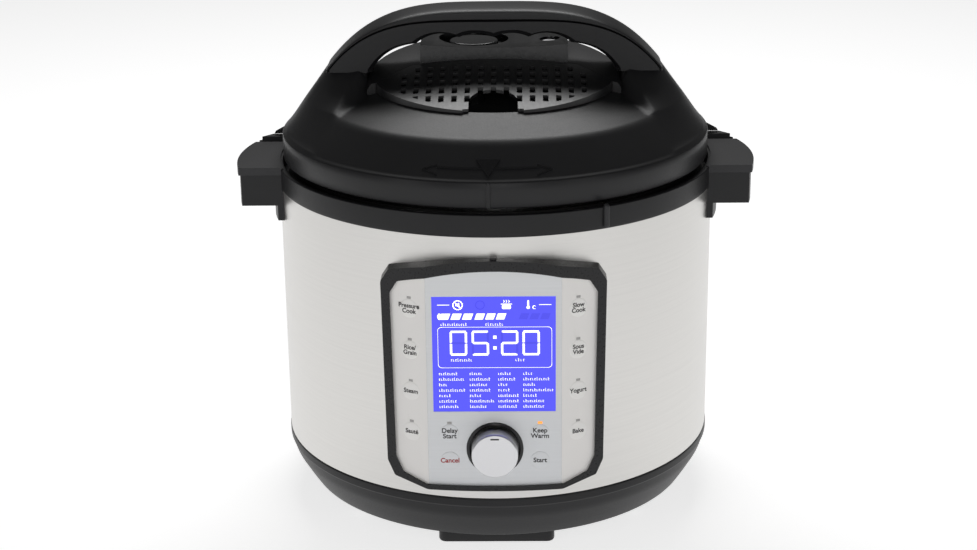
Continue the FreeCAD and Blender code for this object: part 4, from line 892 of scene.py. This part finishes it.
def labels():
    """Key tops with their words, and the short dash on the knob."""
    words = {"left": ("Pressure\nCook", "Rice/\nGrain", "Steam", "Saut\u00e9"),
             "right": ("Slow\nCook", "Sous\nVide", "Yogurt", "Bake")}
    for side, sign in (("left", -1), ("right", 1)):
        right = Vector((math.cos(STRIP_SLOPE), sign * math.sin(STRIP_SLOPE), 0))
        out = Vector((right.y, -right.x, 0))
        for i, text in enumerate(words[side]):
            lo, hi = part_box("%s_key_%d" % (side, i + 1))
            y = FASCIA_Y + math.tan(STRIP_SLOPE) * KEY_BACK
            face = Vector((sign * KEY_X, y, (lo[2] + hi[2]) / 2))
            label("%s_label_%d" % (side, i + 1), text, 3.9 * MM, face + out * LABEL_LIFT, right, "print")
            key_pad("%s_key_%d" % (side, i + 1), face, right, "pad", "white_strip")
    for key, text, ink in (("delay_key", "Delay\nStart", "print"), ("cancel_key", "Cancel", "print_red"),
                           ("warm_key", "Keep\nWarm", "print"), ("start_key", "Start", "print")):
        lo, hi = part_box(key)
        face = Vector(((lo[0] + hi[0]) / 2, FASCIA_Y - LABEL_LIFT, (lo[2] + hi[2]) / 2))
        label(key + "_label", text, 4.2 * MM, face, Vector((1, 0, 0)), ink)
        key_pad(key, Vector((face.x, FASCIA_Y, face.z)), Vector((1, 0, 0)), "fascia", "silver_fascia")
    dash = Marks("knob_dash", "print", "knob", "black_smooth")
    middle = Vector((0, knob_lo[1], KNOB_Z))
    dash.shape(round_outline(-2.6, 2.6, 10.6, 11.5, 0.4), middle)
    dash.finish()


# ---------------------------------------------------------------- stage, light and camera
def stage():
    floor = new_object("floor", [(-6, -6, 0), (6, -6, 0), (6, 6, 0), (-6, 6, 0)], [(0, 1, 2, 3)])
    mat, tree, shader = material("floor_white")
    shader.inputs["Base Color"].default_value = (0.75, 0.75, 0.75, 1)
    shader.inputs["Roughness"].default_value = 0.9
    shader.inputs["Specular IOR Level"].default_value = 0.1
    shader.inputs["Emission Color"].default_value = (1, 1, 1, 1)
    shader.inputs["Emission Strength"].default_value = 0.72
    floor.data.materials.append(mat)


def area_light(name, size, energy, location, target):
    data = bpy.data.lights.new(name, "AREA")
    data.shape = "RECTANGLE"
    data.size, data.size_y = size
    data.energy = energy
    obj = bpy.data.objects.new(name, data)
    obj.location = location
    obj.rotation_mode = "QUATERNION"
    obj.rotation_quaternion = (Vector(target) - Vector(location)).to_track_quat("-Z", "Y")
    scene.collection.objects.link(obj)


def lights():
    world = bpy.data.worlds.new("studio")
    world.use_nodes = True
    background = world.node_tree.nodes["Background"]
    background.inputs["Color"].default_value = (1, 1, 1, 1)
    background.inputs["Strength"].default_value = 0.10
    scene.world = world
    area_light("behind_above", (1.0, 0.45), 10, (0, 1.05, 1.45), (0, 0, 0.27))
    area_light("front_card", (0.7, 0.9), 5, (0.1, -2.2, 0.9), (0, 0, 0.12))
    area_light("left_front", (0.4, 1.0), 2.5, (-1.5, -1.5, 0.7), (0, 0, 0.12))
    area_light("right_front", (0.4, 1.0), 2, (1.5, -1.5, 0.7), (0, 0, 0.12))


def camera():
    distance, height = 1.2123, 0.55405
    aside = 0.00273
    pitch, roll, yaw = math.radians(18.914), math.radians(-0.66), math.radians(-0.381)
    turn = math.radians(0.65)
    forward = Vector((math.sin(yaw) * math.cos(pitch), math.cos(yaw) * math.cos(pitch), -math.sin(pitch)))
    right = Vector((math.cos(yaw), -math.sin(yaw), 0))
    up = right.cross(forward)
    side = right * math.cos(roll) + up * math.sin(roll)
    above = up * math.cos(roll) - right * math.sin(roll)
    rig = Matrix((side, above, -forward)).transposed().to_4x4()
    rig.translation = Vector((aside, -distance, height))
    data = bpy.data.cameras.new("camera")
    data.sensor_width = 36.0
    data.lens = 70.95
    data.clip_start = 0.05
    obj = bpy.data.objects.new("camera", data)
    obj.matrix_world = Matrix.Rotation(turn, 4, "Z") @ rig
    scene.collection.objects.link(obj)
    scene.camera = obj


steel_body()
base()
collar()
lid_shell()
lid_middle()
lid_marks()
handle_pieces()
soften_pieces()
dress_nodes()
knob()
display()
labels()
stage()
lights()
camera()
scene.view_settings.view_transform = "Standard"
